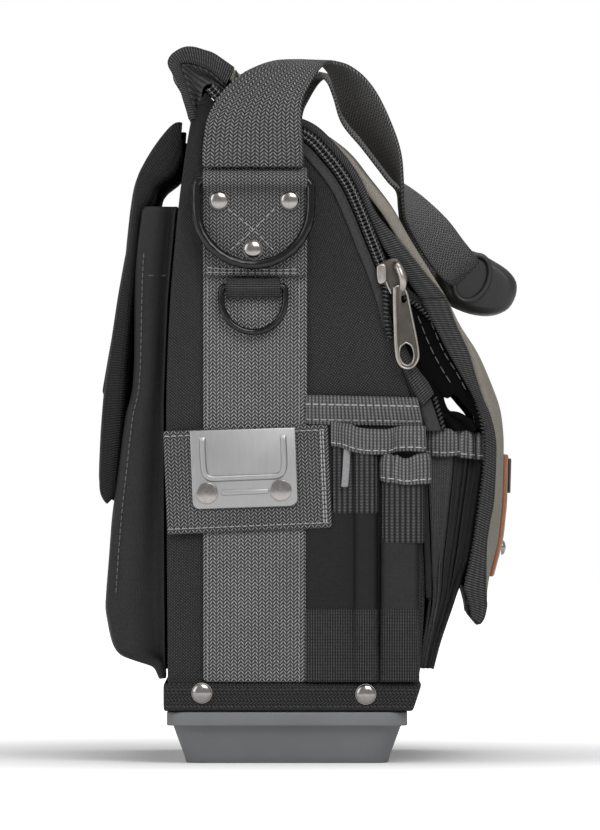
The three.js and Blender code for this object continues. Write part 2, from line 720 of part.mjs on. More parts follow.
// Both outlines start at the top, at the end towards the front, and go round by the bottom.
const loopSeam = -44.2;
const rearLoop = [
  [loopSeam + 0.4, 150.7], [loopSeam + 0.4, pocketBottom], [pocketBack, pocketBottom],
  [pocketBack, 105], [-22.5, 110.5], [-22.5, 150.7],
].reverse();
const frontLoop = [
  [loopSeam - 0.4, 146.8], [loopSeam - 0.4, pocketBottom], [-61.4, pocketBottom], [-63.5, 78],
  [-63.5, 146.8],
];
addPair('side_pocket', nearPrism(sidePocketOutline(), strapBack, strapBack + loopWall), finishes.cloth);
addPair('rear_tool_loop', toolLoop(rearLoop), finishes.blackWebbing);
addPair('front_tool_loop', toolLoop(frontLoop), finishes.blackWebbing);

// Three gusseted pockets under the front flap, each carried by the one behind it
const pocketLevels = [mouthHeight, mouthHeight - pocketHemDepth, 96.9, 77.8, 58.8, 45];
const pocketDepths = [
  [14.2, 13.4, 6.4, 4.2, 2.8, 2.1], [21.4, 20.4, 11.8, 7.6, 5.2, 4.1], [28.6, 27.8, 18.7, 11.3, 7.6, 6.1],
];

function pocketLine(number) {
  const base = (height) => lineAt(frontLine, height);
  if (number < 0) return pocketLevels.map((height) => [base(height), height]);
  return pocketLevels.map((height, i) => [base(height) - pocketDepths[number][i], height]);
}

function buildFrontPocket(number) {
  const front = pocketLine(number);
  const behind = pocketLine(number - 1).map(([y, z]) => [y - clearance, z]);
  const halfWidth = pocketHalfWidth - 1.5 * number;
  const wall = [...front, ...front.map(([y, z]) => [y + pocketWall, z]).reverse()];
  const gusset = nearPrism([...front, ...behind.reverse()], halfWidth - pocketWall, halfWidth);
  return joined(fullPrism(wall, halfWidth), gusset, mirrored(gusset));
}

['front_pocket_inner', 'front_pocket_middle', 'front_pocket_outer'].forEach(
  (name, number) => add(name, buildFrontPocket(number), finishes.cloth));

// Back pocket: a deep pouch sewn to the back panel
function buildBackPocket() {
  const wall = fullPrism(stripOutline(backPocketOutside, 0, -backPocketWall), backPocketHalfWidth);
  const foot = backPocketOutside[backPocketOutside.length - 1][1];
  const seat = offsetLine(backEdge, -clearance);
  const behind = [[lineAt(seat, foot), foot], ...seat.slice(2, 5)];
  behind[behind.length - 1] = [lineAt(seat, backPocketOutside[0][1] - 1), backPocketOutside[0][1]];
  const outline = [...backPocketOutside, ...behind];
  const gusset = nearPrism(outline, backPocketHalfWidth - backPocketWall, backPocketHalfWidth);
  return joined(wall, gusset, mirrored(gusset));
}

add('back_pocket', buildBackPocket(), finishes.cloth);

// Back flap, with a pull tab outside and a closing strap inside
const backFlap = fullPrism([...backFlapOutside, ...backFlapInside], backFlapHalfWidth);
const closingLine = [[76.05, 196.5], [77.7, 171]].map(([y, z]) => [y - 0.1, z]);
const pullTabOutline = [
  [lineAt(backFlapOutside, 214) + clearance, 214], [81.8, 214.6], [88.7, 177], [88.1, 175.4],
  [lineAt(backFlapOutside, 175.6) + clearance, 175.6],
];
add('back_flap', backFlap, finishes.cloth);
add('closing_strap', fullPrism(stripOutline(
  [[72.3, 229], [74.4, 212], ...closingLine], -clearance, -clearance - 1.5), 19), finishes.blackWebbing);
add('back_flap_tab', fullPrism(pullTabOutline, 14), finishes.blackWebbing);

// Free lower part of the front flap
const freePanelHalf = sideFace - flapBinding - clearance;
add('front_flap', crownedPanel(frontEdge, flapPanel, freePanelHalf), finishes.canvas);

function buildFlapBinding() {
  const edge = frontEdge.map(([y, z]) => [y, z]);
  const outline = [...edge, ...frontEdgeFoot, ...bindingInnerEdge, ...bindingTop];
  const side = nearPrism(outline, sideFace - flapBinding, sideFace);
  const hook = [...frontEdgeFoot, ...bindingInnerEdge.slice(0, 4)];
  const foot = fullPrism(stripOutline(hook, 0, flapPanel), sideFace - 0.5);
  return joined(side, mirrored(side), foot);
}

add('front_flap_binding', buildFlapBinding(), finishes.blackWebbing);
const flapZipLine = bindingInnerEdge.slice(4);
addPair('zip_tape_flap', nearPrism(
  stripOutline(flapZipLine, -clearance, -chainHalfWidth), sideFace - 2.4, sideFace - 0.6), finishes.zipCoil);

// Leather patch on the flap's crown, with a small hook and a screw
const patchSpan = frontEdge.slice(6, 11);
function patchLine(reach) {
  return patchSpan.map(([y, z, crown]) => [y - crown - reach, z]);
}

add('leather_patch', fullPrism([
  ...patchLine(clearance), ...patchLine(clearance + 2).reverse()], 30), finishes.leather);
const hookFace = patchLine(clearance + 2 + clearance);
const hookLine = [[hookFace[0][0], hookFace[0][1] - 2], [lineAt(hookFace, 128), 128]];
add('patch_hook', fullPrism([
  ...hookLine, ...hookLine.map(([y, z]) => [y - 1.4, z]).reverse()], 9), finishes.nickel);

// Zip slider and its pull, one on each side. The slider runs up along the chain.
const [slideY, slideZ] = zipLine[sliderStation];
const slideAim = [zipLine[sliderStation - 2][0] - slideY, zipLine[sliderStation - 2][1] - slideZ];
const slideAngle = Math.atan2(slideAim[0], slideAim[1]);

function buildSlider() {
  const half = sliderWidth / 2;
  const body = [
    [-half * 0.75, sliderLength / 2], [half * 0.75, sliderLength / 2], [half, sliderLength * 0.1],
    [half, -sliderLength * 0.35], [half * 0.45, -sliderLength / 2], [-half * 0.45, -sliderLength / 2],
    [-half, -sliderLength * 0.35], [-half, sliderLength * 0.1],
  ];
  const from = chainProud + clearance;
  const plate = nearPrism(body, from, from + sliderThickness);
  const bail = nearPrism(rectangle(-1.2, 1.2, -eyeDrop - 2.4, -eyeDrop + 3.6), from + 0.5, from + sliderThickness + bailRise);
  const eye = new THREE.CylinderGeometry(eyeRadius, eyeRadius, 12, 12);
  eye.translate(-(from + sliderThickness + eyeStandOff), 0, -eyeDrop);
  return without(joined(plate, bail), eye);
}

function buildPull() {
  const neck = pullNeckWidth / 2;
  const half = pullWidth / 2;
  const foot = pullHead - pullLength;
  const shoulder = pullHead - pullLength * 0.55;
  const outline = [
    [-neck, pullHead], [neck, pullHead], [half, shoulder], [half, foot + 2], [half - 2, foot],
    [2 - half, foot], [-half, foot + 2], [-half, shoulder],
  ];
  const plate = sidePrism(outline, -pullThickness / 2, pullThickness / 2);
  const window = sidePrism(rectangle(-2.8, 2.8, -6, 4), -5, 5);
  const hole = circleOutline(0, 0, 1, 20).map(([y, z]) => [y * 3.4, z * 5.2 + foot + 8.1]);
  const pin = new THREE.CylinderGeometry(1.05, 1.05, pullNeckWidth - 1, 10);
  const pull = joined(without(plate, window, sidePrism(hole, -5, 5)), pin);
  return pull.rotateX(-THREE.MathUtils.degToRad(pullLean));
}

function addSlider(side, name) {
  const runner = new THREE.Group();
  runner.position.set(side * sideFace, slideY, slideZ);
  toolBag.add(runner);
  const turned = buildSlider().rotateX(-slideAngle);
  add(`zip_slider_${name}`, side < 0 ? turned : mirrored(turned), finishes.nickel, runner);
}

function addPull(side, name) {
  const out = chainProud + clearance + sliderThickness + eyeStandOff;
  const place = new THREE.Vector3(0, 0, -eyeDrop).applyAxisAngle(new THREE.Vector3(1, 0, 0), -slideAngle);
  const hanger = new THREE.Group();
  hanger.position.set(side * (sideFace + out), slideY + place.y, slideZ + place.z);
  toolBag.add(hanger);
  add(`zip_pull_${name}`, buildPull(), finishes.nickel, hanger);
}

for (const [side, name] of [[-1, 'near'], [1, 'far']]) {
  addSlider(side, name);
  addPull(side, name);
}

// Handle: the straps' lower arches fold at their feet, the upper straps and grip at the fold above.
function buildLowerStrap() {
  const [y0, y1] = strapEdges;
  const centre = -(handleLayer + webbingThickness / 2);
  const [foldY, foldZ] = handleFold;
  const foldEnd = foldY + foldGap / 2 + webbingThickness / 2;
  const arch = strap([
    [[centre, y0, handleFootZ + 2.5], [centre, y1, handleFootZ + 2.5]],
    [[centre, y0 + 1, 304.9], [centre, y1 - 2, 305.4]],
    [[centre, y0 + 0.5, 315.4], [centre - 0.4, y1 - 5.5, 313.9]],
    [[centre + 1, y0 - 3, 322.5], [centre - 0.4, y1 - 11, 321.5]],
    [[centre + 3, y0 - 7.5, 329.6], [centre - 0.2, y1 - 20, 329.5]],
    [[centre + 4.5, foldEnd + 3, foldZ - 1], [centre + 0.6, 8, foldZ - 0.6]],
    [[centre + 6, foldEnd + 1.5, foldZ], [centre + 16, -4, foldZ]],
    [[centre + 7, foldEnd, foldZ], [centre + 44, foldEnd, foldZ]],
  ], webbingThickness);
  const foot = nearPrism([
    [strapCentreY, handleFootZ - 7 + handleFootGap], [y1, handleFootZ + 3], [y0, handleFootZ + 3],
  ], handleLayer, handleLayer + webbingThickness);
  return joined(arch, foot);
}

function buildUpperStrap() {
  const x = -(handleLayer + webbingThickness / 2);
  const [foldY, foldZ] = handleFold;
  const start = foldY + webbingThickness / 2 - 0.5;
  const [gripY, gripZ] = gripCentre;
  const end = -(gripLength / 2 + 1);
  return strap([
    [[x + 7, start, foldZ], [x + 44, start, foldZ]],
    [[x + 8, -36, 328], [x + 45, -25.5, 323]],
    [[x + 10, -44.3, 316.8], [x + 47, -26.9, 309.2]],
    [[x + 12, -51.9, 299.6], [x + 51, -37.1, 297.2]],
    [[x + 15, -54.9, 289.2], [x + 54, -44.9, 287.2]],
    [[x + 19, -57.1, 277.7], [x + 58, -52, 279.2]],
    [[x + 25, -58.3, 265.9], [x + 61, -59.2, 274.4]],
    [[x + 31, -60.8, 259.7], [x + 63.5, -67.2, 269.7]],
    [[x + 42, -68.3, 250.2], [x + 65, -78.4, 259.2]],
    [[x + 53, -76, 239.5], [x + 66, -87.4, 248.2]],
    [[x + 62, -82, 231.5], [x + 67, -93.4, 241.6]],
    [[end, gripY + 7.6, gripZ - 5.2], [end, gripY - 5.6, gripZ + 6]],
  ], webbingThickness);
}

function buildGrip() {
  const [a, b] = gripHalfSizes;
  const turn = THREE.MathUtils.degToRad(gripTilt);
  const ring = (x, shrink) => Array.from({ length: 24 }, (_, i) => {
    const angle = (i / 24) * Math.PI * 2;
    const along = (a - shrink) * Math.cos(angle);
    const across = (b - shrink) * Math.sin(angle);
    const y = gripCentre[0] - along * Math.cos(turn) + across * Math.sin(turn);
    const z = gripCentre[1] - along * Math.sin(turn) - across * Math.cos(turn);
    return new THREE.Vector3(x, y, z);
  });
  const half = gripLength / 2;
  return cappedSolid([
    ring(-half, 5), ring(-half + 2, 2), ring(-half + 6, 0.3), ring(half - 6, 0.3), ring(half - 2, 2),
    ring(half, 5),
  ]);
}

addPair('handle_strap_lower', buildLowerStrap(), finishes.greyWebbing);
addPair('handle_strap_upper', buildUpperStrap(), finishes.greyWebbing);
add('handle_grip', buildGrip(), finishes.rubber);

export default toolBag;
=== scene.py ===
import math
import bpy
from mathutils import Matrix, Vector, noise


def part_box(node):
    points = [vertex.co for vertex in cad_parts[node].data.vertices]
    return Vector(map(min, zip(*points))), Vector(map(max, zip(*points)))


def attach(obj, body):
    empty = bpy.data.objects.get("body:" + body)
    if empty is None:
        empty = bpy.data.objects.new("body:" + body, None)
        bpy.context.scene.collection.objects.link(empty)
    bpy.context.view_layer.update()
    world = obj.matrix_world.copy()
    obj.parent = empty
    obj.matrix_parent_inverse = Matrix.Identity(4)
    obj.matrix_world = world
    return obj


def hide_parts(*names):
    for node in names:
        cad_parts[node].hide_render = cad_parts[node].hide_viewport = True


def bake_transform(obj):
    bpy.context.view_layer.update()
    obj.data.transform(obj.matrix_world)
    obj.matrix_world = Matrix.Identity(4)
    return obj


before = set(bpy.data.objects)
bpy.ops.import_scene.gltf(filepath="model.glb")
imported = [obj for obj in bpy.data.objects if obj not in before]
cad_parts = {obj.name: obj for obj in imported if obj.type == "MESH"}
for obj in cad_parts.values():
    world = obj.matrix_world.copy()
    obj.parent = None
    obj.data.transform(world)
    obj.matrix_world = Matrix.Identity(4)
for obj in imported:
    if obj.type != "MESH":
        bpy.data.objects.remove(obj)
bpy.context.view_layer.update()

# The camera stands a few metres off the near side, level and with a long lens, as the photograph
# was taken. Its frame is 600 by 830 pixels, and one pixel is 0.476 mm at the bag's near side.
frame_height_pixels = 830
pixel = 0.000476
camera_distance = 6.0
camera_aim = Vector((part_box("side_panel_near")[0].x, -0.0067, 0.1659))
long_side_of_sensor = 36
lens = bpy.data.cameras.new("camera")
lens.sensor_width = long_side_of_sensor
lens.lens = long_side_of_sensor * camera_distance / (frame_height_pixels * pixel)
camera = bpy.data.objects.new("camera", lens)
camera.location = camera_aim - Vector((camera_distance, 0, 0))
camera.rotation_euler = (math.pi / 2, 0, -math.pi / 2)
bpy.context.scene.collection.objects.link(camera)
bpy.context.scene.camera = camera
bpy.context.scene.view_settings.view_transform = "Standard"


# The studio is a white floor and a white surround, lit by three big soft lamps: one high on the
# photographed side, one low from behind it and one overhead. None of it is part of the bag.
class Shade:
    """A socket in a shader tree. An expression on it adds the Math nodes that it needs."""

    def __init__(self, tree, socket=None):
        self.tree = tree
        self.socket = socket

    def node(self, kind, settings=None, inputs=None, output=0):
        """Any node, from its type, its settings and the values or links of its sockets."""
        made = self.tree.nodes.new(kind)
        for key, value in (settings or {}).items():
            setattr(made, key, value)
        for key, value in (inputs or {}).items():
            if isinstance(value, Shade):
                self.tree.links.new(value.socket, made.inputs[key])
            else:
                made.inputs[key].default_value = value
        return Shade(self.tree, made.outputs[output])

    def sum(self, operation, *terms):
        return self.node("ShaderNodeMath", {"operation": operation}, dict(enumerate(terms)))

    def __add__(self, other):
        return self.sum("ADD", self, other)

    def __radd__(self, other):
        return self.sum("ADD", other, self)

    def __sub__(self, other):
        return self.sum("SUBTRACT", self, other)

    def __rsub__(self, other):
        return self.sum("SUBTRACT", other, self)

    def __mul__(self, other):
        return self.sum("MULTIPLY", self, other)

    def __rmul__(self, other):
        return self.sum("MULTIPLY", other, self)

    def __truediv__(self, other):
        return self.sum("DIVIDE", self, other)

    def __pow__(self, other):
        return self.sum("POWER", self, other)

    def __lt__(self, other):
        return self.sum("LESS_THAN", self, other)

    def __gt__(self, other):
        return self.sum("GREATER_THAN", self, other)

    def __abs__(self):
        return self.sum("ABSOLUTE", self)

    def sine(self, period):
        return self.sum("SINE", self * (2 * math.pi / period))

    def part(self, period):
        """How far through its period the value is, from 0 to 1."""
        return self.sum("FRACT", self / period)

    def colour(self, low, high):
        """A colour between two, by this value."""
        return self.node("ShaderNodeMix", {"data_type": "RGBA"}, {0: self, 6: rgba(low), 7: rgba(high)}, 2)

    def cloud(self, size, detail=3, places=None):
        """Soft noise whose patches are about that size, in metres."""
        spot = places or self.node("ShaderNodeTexCoord", output=3)
        return self.node("ShaderNodeTexNoise", {}, {"Vector": spot, "Scale": 1 / size, "Detail": detail})

    def bump(self, height, distance, **more):
        """The normal of a surface with that height, in metres for a height of 1."""
        return self.node("ShaderNodeBump", {}, {"Height": height, "Distance": distance, **more})


def rgba(value):
    if isinstance(value, Shade):
        return value
    if isinstance(value, (int, float)):
        return (value, value, value, 1)
    return (*value, 1)


def new_material(name):
    made = bpy.data.materials.new(name)
    made.use_nodes = True
    return made, Shade(made.node_tree)


def set_inputs(made, shade, values):
    shader = made.node_tree.nodes["Principled BSDF"]
    for key, value in values.items():
        if isinstance(value, Shade):
            shade.tree.links.new(value.socket, shader.inputs[key])
        else:
            shader.inputs[key].default_value = value


floor_half_size = 6
floor_colour = 0.86
bpy.ops.object.select_all(action="DESELECT")
bpy.ops.mesh.primitive_plane_add(size=2 * floor_half_size)
floor = bpy.context.object
floor.name = "studio_floor"
floor_material, shade = new_material("studio_floor")
seen = shade.node("ShaderNodeLightPath", output="Is Camera Ray")
mirrored = shade.node("ShaderNodeLightPath", output="Is Glossy Ray")
place = shade.node("ShaderNodeTexCoord", output=3)
away = shade.node("ShaderNodeVectorMath", {"operation": "LENGTH"}, {0: place}, 1)
glow = shade.node("ShaderNodeMapRange", {"interpolation_type": "SMOOTHSTEP"},
                  {0: away, 1: 0.14, 2: 0.65, 3: 0.12, 4: 1.0})
set_inputs(floor_material, shade, {
    "Base Color": rgba(floor_colour), "Roughness": 0.9, "Specular IOR Level": 0.0,
    "Emission Color": ((seen + mirrored * 0.5) * glow).colour(0, 1), "Emission Strength": 1.0,
})
floor.data.materials.append(floor_material)

world = bpy.data.worlds.new("studio")
world.use_nodes = True
bpy.context.scene.world = world
shade = Shade(world.node_tree)
sky = world.node_tree.nodes["Background"]
seen = shade.node("ShaderNodeLightPath", output="Is Camera Ray")
mirrored = shade.node("ShaderNodeLightPath", output="Is Glossy Ray")
room_light = 0.26
strength = room_light + seen * (1 - room_light) + mirrored * 0.2
world.node_tree.links.new(strength.socket, sky.inputs["Strength"])
sky.inputs["Color"].default_value = (1, 1, 1, 1)


def lamp(name, place, aim, size, power):
    light = bpy.data.lights.new(name, "AREA")
    light.size = size
    light.energy = power
    made = bpy.data.objects.new(name, light)
    made.location = place
    made.rotation_euler = (Vector(aim) - Vector(place)).to_track_quat("-Z", "Y").to_euler()
    bpy.context.scene.collection.objects.link(made)


lamp("key_lamp", (-1.5, -0.5, 1.35), (0, 0, 0.15), 1.1, 20)
lamp("rear_lamp", (-1.1, 1.4, 0.8), (0, 0, 0.15), 1.2, 9)
lamp("top_lamp", (0.2, -0.1, 1.7), (0, 0, 0.2), 1.3, 11)


# The tub that the bag stands on is one grey moulding with a fine grain: a foot, a tapered wall, a
# proud rim that the cloth is fixed to, and a flange inside the cloth. Its floor is closed.
def only(piece):
    bpy.ops.object.select_all(action="DESELECT")
    piece.select_set(True)
    bpy.context.view_layer.objects.active = piece


def apply(piece, kind, **settings):
    """Adds a modifier with these settings to a piece, and applies it."""
    only(piece)
    modifier = piece.modifiers.new(kind.title(), kind)
    for key, value in settings.items():
        setattr(modifier, key, value)
    bpy.ops.object.modifier_apply(modifier=modifier.name)


def smooth_edges(piece, angle=35):
    only(piece)
    bpy.ops.object.shade_smooth_by_angle(angle=math.radians(angle))


def dress(piece, material, slot, *nodes):
    """Gives a piece its material, and hides the solids that it stands for."""
    piece.data.materials.clear()
    piece.data.materials.append(material)
    if nodes:
        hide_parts(*nodes)


def fit(piece, body, material, slot, *nodes):
    """Dresses a piece and puts it on a body."""
    dress(piece, material, slot, *nodes)
    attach(piece, body)


base_plastic, shade = new_material("grained_base_plastic")
grain = shade.cloud(0.0006, 2)
scuffs = shade.cloud(0.03, 5)
set_inputs(base_plastic, shade, {
    "Base Color": scuffs.colour((0.14, 0.143, 0.148), (0.2, 0.204, 0.21)),
    "Roughness": 0.38 + scuffs * 0.25,
    "Normal": shade.bump(grain, 0.00012, Strength=0.8),
})

tub_low, tub_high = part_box("base_tub")
tub_middle = (tub_low + tub_high) / 2
tub_steps = [
    (0.0, 0.0106, 0.0092), (0.004, 0.0082, 0.0082), (0.0179, 0.0042, 0.003), (0.0179, 0, 0),
    (0.0245, 0, 0), (0.0245, 0.0044, 0.0026), (0.0365, 0.0044, 0.0026), (0.0365, 0.0064, 0.0046),
    (0.0199, 0.0066, 0.0048), (0.0078, 0.0106, 0.0092), (0.0035, 0.0106, 0.0092),
]
tub_corner = 0.009
bpy.ops.object.select_all(action="DESELECT")
bpy.ops.mesh.primitive_plane_add(size=2, location=(tub_middle.x, tub_middle.y, 0))
tub = bpy.context.object
tub.name = "moulded_base"
half = (tub_high - tub_low) / 2
tub.scale = (half.x - tub_steps[0][1], half.y - tub_steps[0][2], 1)
bpy.ops.object.transform_apply(location=True, rotation=False, scale=True)
bpy.ops.object.mode_set(mode="EDIT")
bpy.ops.mesh.select_all(action="SELECT")
bpy.ops.mesh.flip_normals()
bpy.ops.mesh.bevel(offset=tub_corner, segments=6, affect="VERTICES")
bpy.ops.mesh.select_all(action="SELECT")
for (z0, x0, y0), (z1, x1, y1) in zip(tub_steps, tub_steps[1:]):
    bpy.ops.mesh.extrude_region_move(TRANSFORM_OT_translate={"value": (0, 0, z1 - z0)})
    grow = ((half.x - x1) / (half.x - x0), (half.y - y1) / (half.y - y0), 1)
    bpy.ops.transform.resize(value=grow, center_override=(tub_middle.x, tub_middle.y, z1))
bpy.ops.mesh.select_all(action="SELECT")
bpy.ops.mesh.normals_make_consistent(inside=False)
bpy.ops.object.mode_set(mode="OBJECT")
apply(tub, "BEVEL", width=0.0007, segments=3, limit_method="ANGLE", angle_limit=math.radians(25))
smooth_edges(tub)
fit(tub, "bag", base_plastic, "base_plastic", "base_tub")

# The stiffener boards lie inside, one on the tub's floor and one up the back. They are plain black
# sheet with a slightly uneven matt face, and they are left as they were built.
def mottled(name, patches, low, high, rough, spread, grain, depth, **more):
    """A material whose colour and gloss change in patches, over a fine grain. Patches and grain are
    each a size in metres and a level of detail."""
    made, shade = new_material(name)
    cloud = shade.cloud(*patches)
    set_inputs(made, shade, {
        "Base Color": cloud.colour(low, high), "Roughness": rough + cloud * spread,
        "Normal": shade.bump(shade.cloud(*grain), depth), **more,
    })
    return made


board = mottled("matt_black_board", (0.012, 4), 0.016, 0.03, 0.55, 0.2, (0.0008, 2), 0.0001)
for node in ("base_board", "back_stiffener"):
    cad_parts[node].data.materials.clear()
    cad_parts[node].data.materials.append(board)


# The body's sides, back and front are coarse black nylon with a thick, slightly shiny thread. Each
# is one cut panel. The sides pucker a little between the seams that hold them.
def mm(*values):
    return Vector(values) * 0.001


def smooth_line(points, count):
    """Evenly spaced points on a curve through the given ones."""
    known = [Vector(point) for point in points]
    ends = [known[0] * 2 - known[1], *known, known[-1] * 2 - known[-2]]
    dense = []
    for a, b, c, d in zip(ends, ends[1:], ends[2:], ends[3:]):
        for step in range(12):
            t = step / 12
            bend = (a * 2 - b * 5 + c * 4 - d) * t ** 2 + (b * 3 - a - c * 3 + d) * t ** 3
            dense.append((b * 2 + (c - a) * t + bend) / 2)
    dense.append(known[-1])
    walked = [0]
    for p, q in zip(dense, dense[1:]):
        walked.append(walked[-1] + (q - p).length)
    placed = []
    k = 0
    for i in range(count):
        goal = walked[-1] * i / (count - 1)
        while k < len(dense) - 2 and walked[k + 1] < goal:
            k += 1
        span = max(walked[k + 1] - walked[k], 1e-9)
        placed.append(dense[k].lerp(dense[k + 1], min((goal - walked[k]) / span, 1)))
    return placed


def lengths(points):
    total = [0]
    for p, q in zip(points, points[1:]):
        total.append(total[-1] + (q - p).length)
    return total


def sheet(name, rows, thickness, side=-1, smooth=1):
    """Cloth through rows of points, with its thickness on one side and a UV map in metres."""
    high = len(rows)
    wide = len(rows[0])
    bpy.ops.object.select_all(action="DESELECT")
    bpy.ops.mesh.primitive_grid_add(x_subdivisions=wide - 1, y_subdivisions=high - 1, size=2)
    piece = bpy.context.object
    piece.name = name
    along = lengths([row[wide // 2] for row in rows])
    across = lengths(rows[high // 2])
    spots = []
    for vertex in piece.data.vertices:
        spots.append((round((vertex.co.y + 1) / 2 * (high - 1)), round((vertex.co.x + 1) / 2 * (wide - 1))))
    chart = piece.data.uv_layers.active.data
    for loop in piece.data.loops:
        row, column = spots[loop.vertex_index]
        chart[loop.index].uv = (across[column], along[row])
    for vertex, (row, column) in zip(piece.data.vertices, spots):
        vertex.co = rows[row][column]
    if thickness:
        apply(piece, "SOLIDIFY", thickness=thickness, offset=side)
    if smooth:
        apply(piece, "SUBSURF", levels=smooth, render_levels=smooth)
    only(piece)
    bpy.ops.object.shade_smooth()
    return piece


def ruled(edge_a, edge_b, count, columns):
    """Rows from one line to another."""
    pairs = zip(smooth_line(edge_a, count), smooth_line(edge_b, count))
    return [[a.lerp(b, c / (columns - 1)) for c in range(columns)] for a, b in pairs]


def pucker(rows, depth, size=0.03):
    """Pushes the points of near-side rows in a little, unevenly."""
    for row in rows:
        for point in row:
            point.x += depth * (0.5 + 0.5 * noise.noise(point / size))
    return rows


def on_side(points, out):
    """Points of the bag's near side, in millimetres, at a distance out from its middle plane."""
    return [mm(-out, y, z) for y, z in points]


def edit(piece, *steps):
    """Runs steps, each an operator and its settings, in edit mode on the whole of one piece."""
    only(piece)
    bpy.ops.object.mode_set(mode="EDIT")
    bpy.ops.mesh.select_all(action="SELECT")
    for operator, settings in steps:
        operator(**settings)
    bpy.ops.object.mode_set(mode="OBJECT")


def mirror_image(piece):
    """The far side's copy of a near-side piece."""
    far = bpy.data.objects.new(piece.name.replace("_near", "_far"), piece.data.copy())
    bpy.context.scene.collection.objects.link(far)
    far.data.transform(Matrix.Scale(-1, 4, (1, 0, 0)))
    edit(far, (bpy.ops.mesh.flip_normals, {}))
    return far


def both_sides(piece, body, material, slot, *nodes):
    """Fits a near-side piece and its copy on the far side."""
    fit(piece, body, material, slot, *nodes)
    far_nodes = [node.replace("_near", "_far") for node in nodes]
    fit(mirror_image(piece), body.replace("_near", "_far"), material, slot, *far_nodes)


def chart_in_mm(shade):
    """The two directions of a piece's own UV map, in millimetres: across and along."""
    chart = shade.node("ShaderNodeUVMap")
    u = shade.node("ShaderNodeSeparateXYZ", {}, {0: chart}, 0)
    v = shade.node("ShaderNodeSeparateXYZ", {}, {0: chart}, 1)
    return u * 1000, v * 1000


def threads(u, v, pitch, sunk=0.35):
    """Height of a plain weave: every other crossing is a raised dot, and those between are sunk."""
    warp = u.sine(2 * pitch)
    weft = v.sine(2 * pitch)
    over = warp * weft > 0
    return abs(warp * weft) ** 0.6 * (sunk + over * (1 - sunk))


def stitching(u, v, rows, pitch=3.6, thread=0.3):
    """Where the stitches of rows at these distances across a tape are."""
    dash = v.part(pitch) < 0.7
    near_row = abs(u - rows[0]) < thread
    for row in rows[1:]:
        near_row = near_row + (abs(u - row) < thread)
    return dash * near_row


def woven(name, pitch, dark, light, depth, rough=0.75, gloss=0.25, rows=(), thread_colour=0.25, sunk=0.35):
    """Plain woven cloth, with rows of stitches where it has them."""
    made, shade = new_material(name)
    u, v = chart_in_mm(shade)
    height = threads(u, v, pitch, sunk)
    slub = shade.cloud(0.0016, 2)
    # Painted light and shade: the weave's height also sets its colour, so the raised thread tops are lighter, a
    # painted highlight, and the sunk gaps between them darker, a painted shade. Slub and patches vary it at
    # random.
    painted_light_and_yarn_tone = height * (0.45 + slub) * (0.7 + 0.6 * shade.cloud(0.045, 2))
    colour = painted_light_and_yarn_tone.colour(dark, light)
    if rows:
        sewn = stitching(u, v, rows)
        colour = sewn.colour(colour, thread_colour)
        height = height * (1 - sewn) + sewn * 1.6
    creases = shade.bump(shade.cloud(0.025, 3), 0.002, Strength=0.35)
    set_inputs(made, shade, {
        "Base Color": colour, "Roughness": rough - height * 0.12, "Specular IOR Level": gloss,
        "Normal": shade.bump(height, depth, Normal=creases),
    })
    return made


nylon = woven("coarse_black_nylon", 0.75, 0.004, 0.082, 0.0004, rough=0.6, sunk=0.12)
side_out = 127.0
cloth = 0.0022
side_back_edge = [
    (56.2, 24.8), (56.4, 38.6), (56.9, 110), (57.1, 173), (55.2, 220.6), (51.4, 263.5), (49, 282.5),
    (46.4, 300), (44.2, 309), (38.4, 319.6),
]
side_front_edge = [
    (-58.3, 24.8), (-62.8, 38.6), (-66.2, 77.8), (-65.2, 110), (-62.9, 158.5), (-59.6, 175.4),
    (-48.7, 220.6), (-37.8, 249.2), (-28, 273), (-18.2, 285.8), (-8.9, 295.6), (6.1, 300.9),
    (21.3, 306.4), (30.8, 312.2), (38.4, 319.6),
]
side_rows = pucker(ruled(on_side(side_back_edge, side_out), on_side(side_front_edge, side_out), 90, 40), 0.0009)
side_cloth = sheet("side_cloth_near", side_rows, cloth, side=-1)
both_sides(side_cloth, "bag", nylon, "cloth", "side_panel_near")


def across_bag(line, half_width, columns=21, count=60):
    """Rows of points across the bag's width along a line in the plane of its side."""
    edge = [-1 + 2 * c / (columns - 1) for c in range(columns)]
    return [[Vector((x * half_width, p.y, p.z)) for x in edge] for p in smooth_line(line, count)]


back_line = on_side(side_back_edge[:8], 0)
front_line = on_side([(-58.3, 24.8), (-62.8, 38.6), (-69.5, 77.8), (-68.5, 110), (-66.2, 158.5)], 0)
body_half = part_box("back_panel")[1].x
back_cloth = sheet("back_cloth", across_bag(back_line, body_half), cloth, side=1)
fit(back_cloth, "bag", nylon, "cloth", "back_panel")
front_cloth = sheet("front_cloth", across_bag(front_line, body_half), cloth, side=-1)
fit(front_cloth, "bag", nylon, "cloth", "front_panel")


# A band of herringbone webbing goes round the foot of the body, over the raw edges of the panels.
# Two rows of stitches and two domed rivets a side hold it, through the cloth and the tub's flange.
def webbing(name, dark, light, depth=0.0006, rib=1.75, column=3.35, rows=(), thread_colour=0.32, thread=0.14):
    """Herringbone webbing: short slanting yarns that turn back at each column, like knitting."""
    made, shade = new_material(name)
    u, v = chart_in_mm(shade)
    turn = abs(u.part(column) - 0.5) * 2
    ribs = (v + turn * 1.9).sine(rib) * 0.5 + 0.5
    leg = turn * (1 - turn) * 4
    height = ribs ** 1.3 * (0.1 + 0.9 * leg)
    # Painted light and shade: the rib crowns are coloured lighter, a painted highlight, and the grooves between
    # them darker, a painted shade, from the same height as the bump. Small patches vary it at random.
    painted_light_and_yarn_tone = height * (0.65 + shade.cloud(0.0014, 2) * 0.6)
    colour = (painted_light_and_yarn_tone * (0.8 + 0.4 * shade.cloud(0.03, 2))).colour(dark, light)
    if rows:
        sewn = stitching(u, v, rows, thread=thread)
        colour = sewn.colour(colour, thread_colour)
        height = height * (1 - sewn) + sewn * 1.3
    set_inputs(made, shade, {
        "Base Color": colour, "Roughness": 0.72 - height * 0.12, "Specular IOR Level": 0.25,
        "Normal": shade.bump(height, depth),
    })
    return made


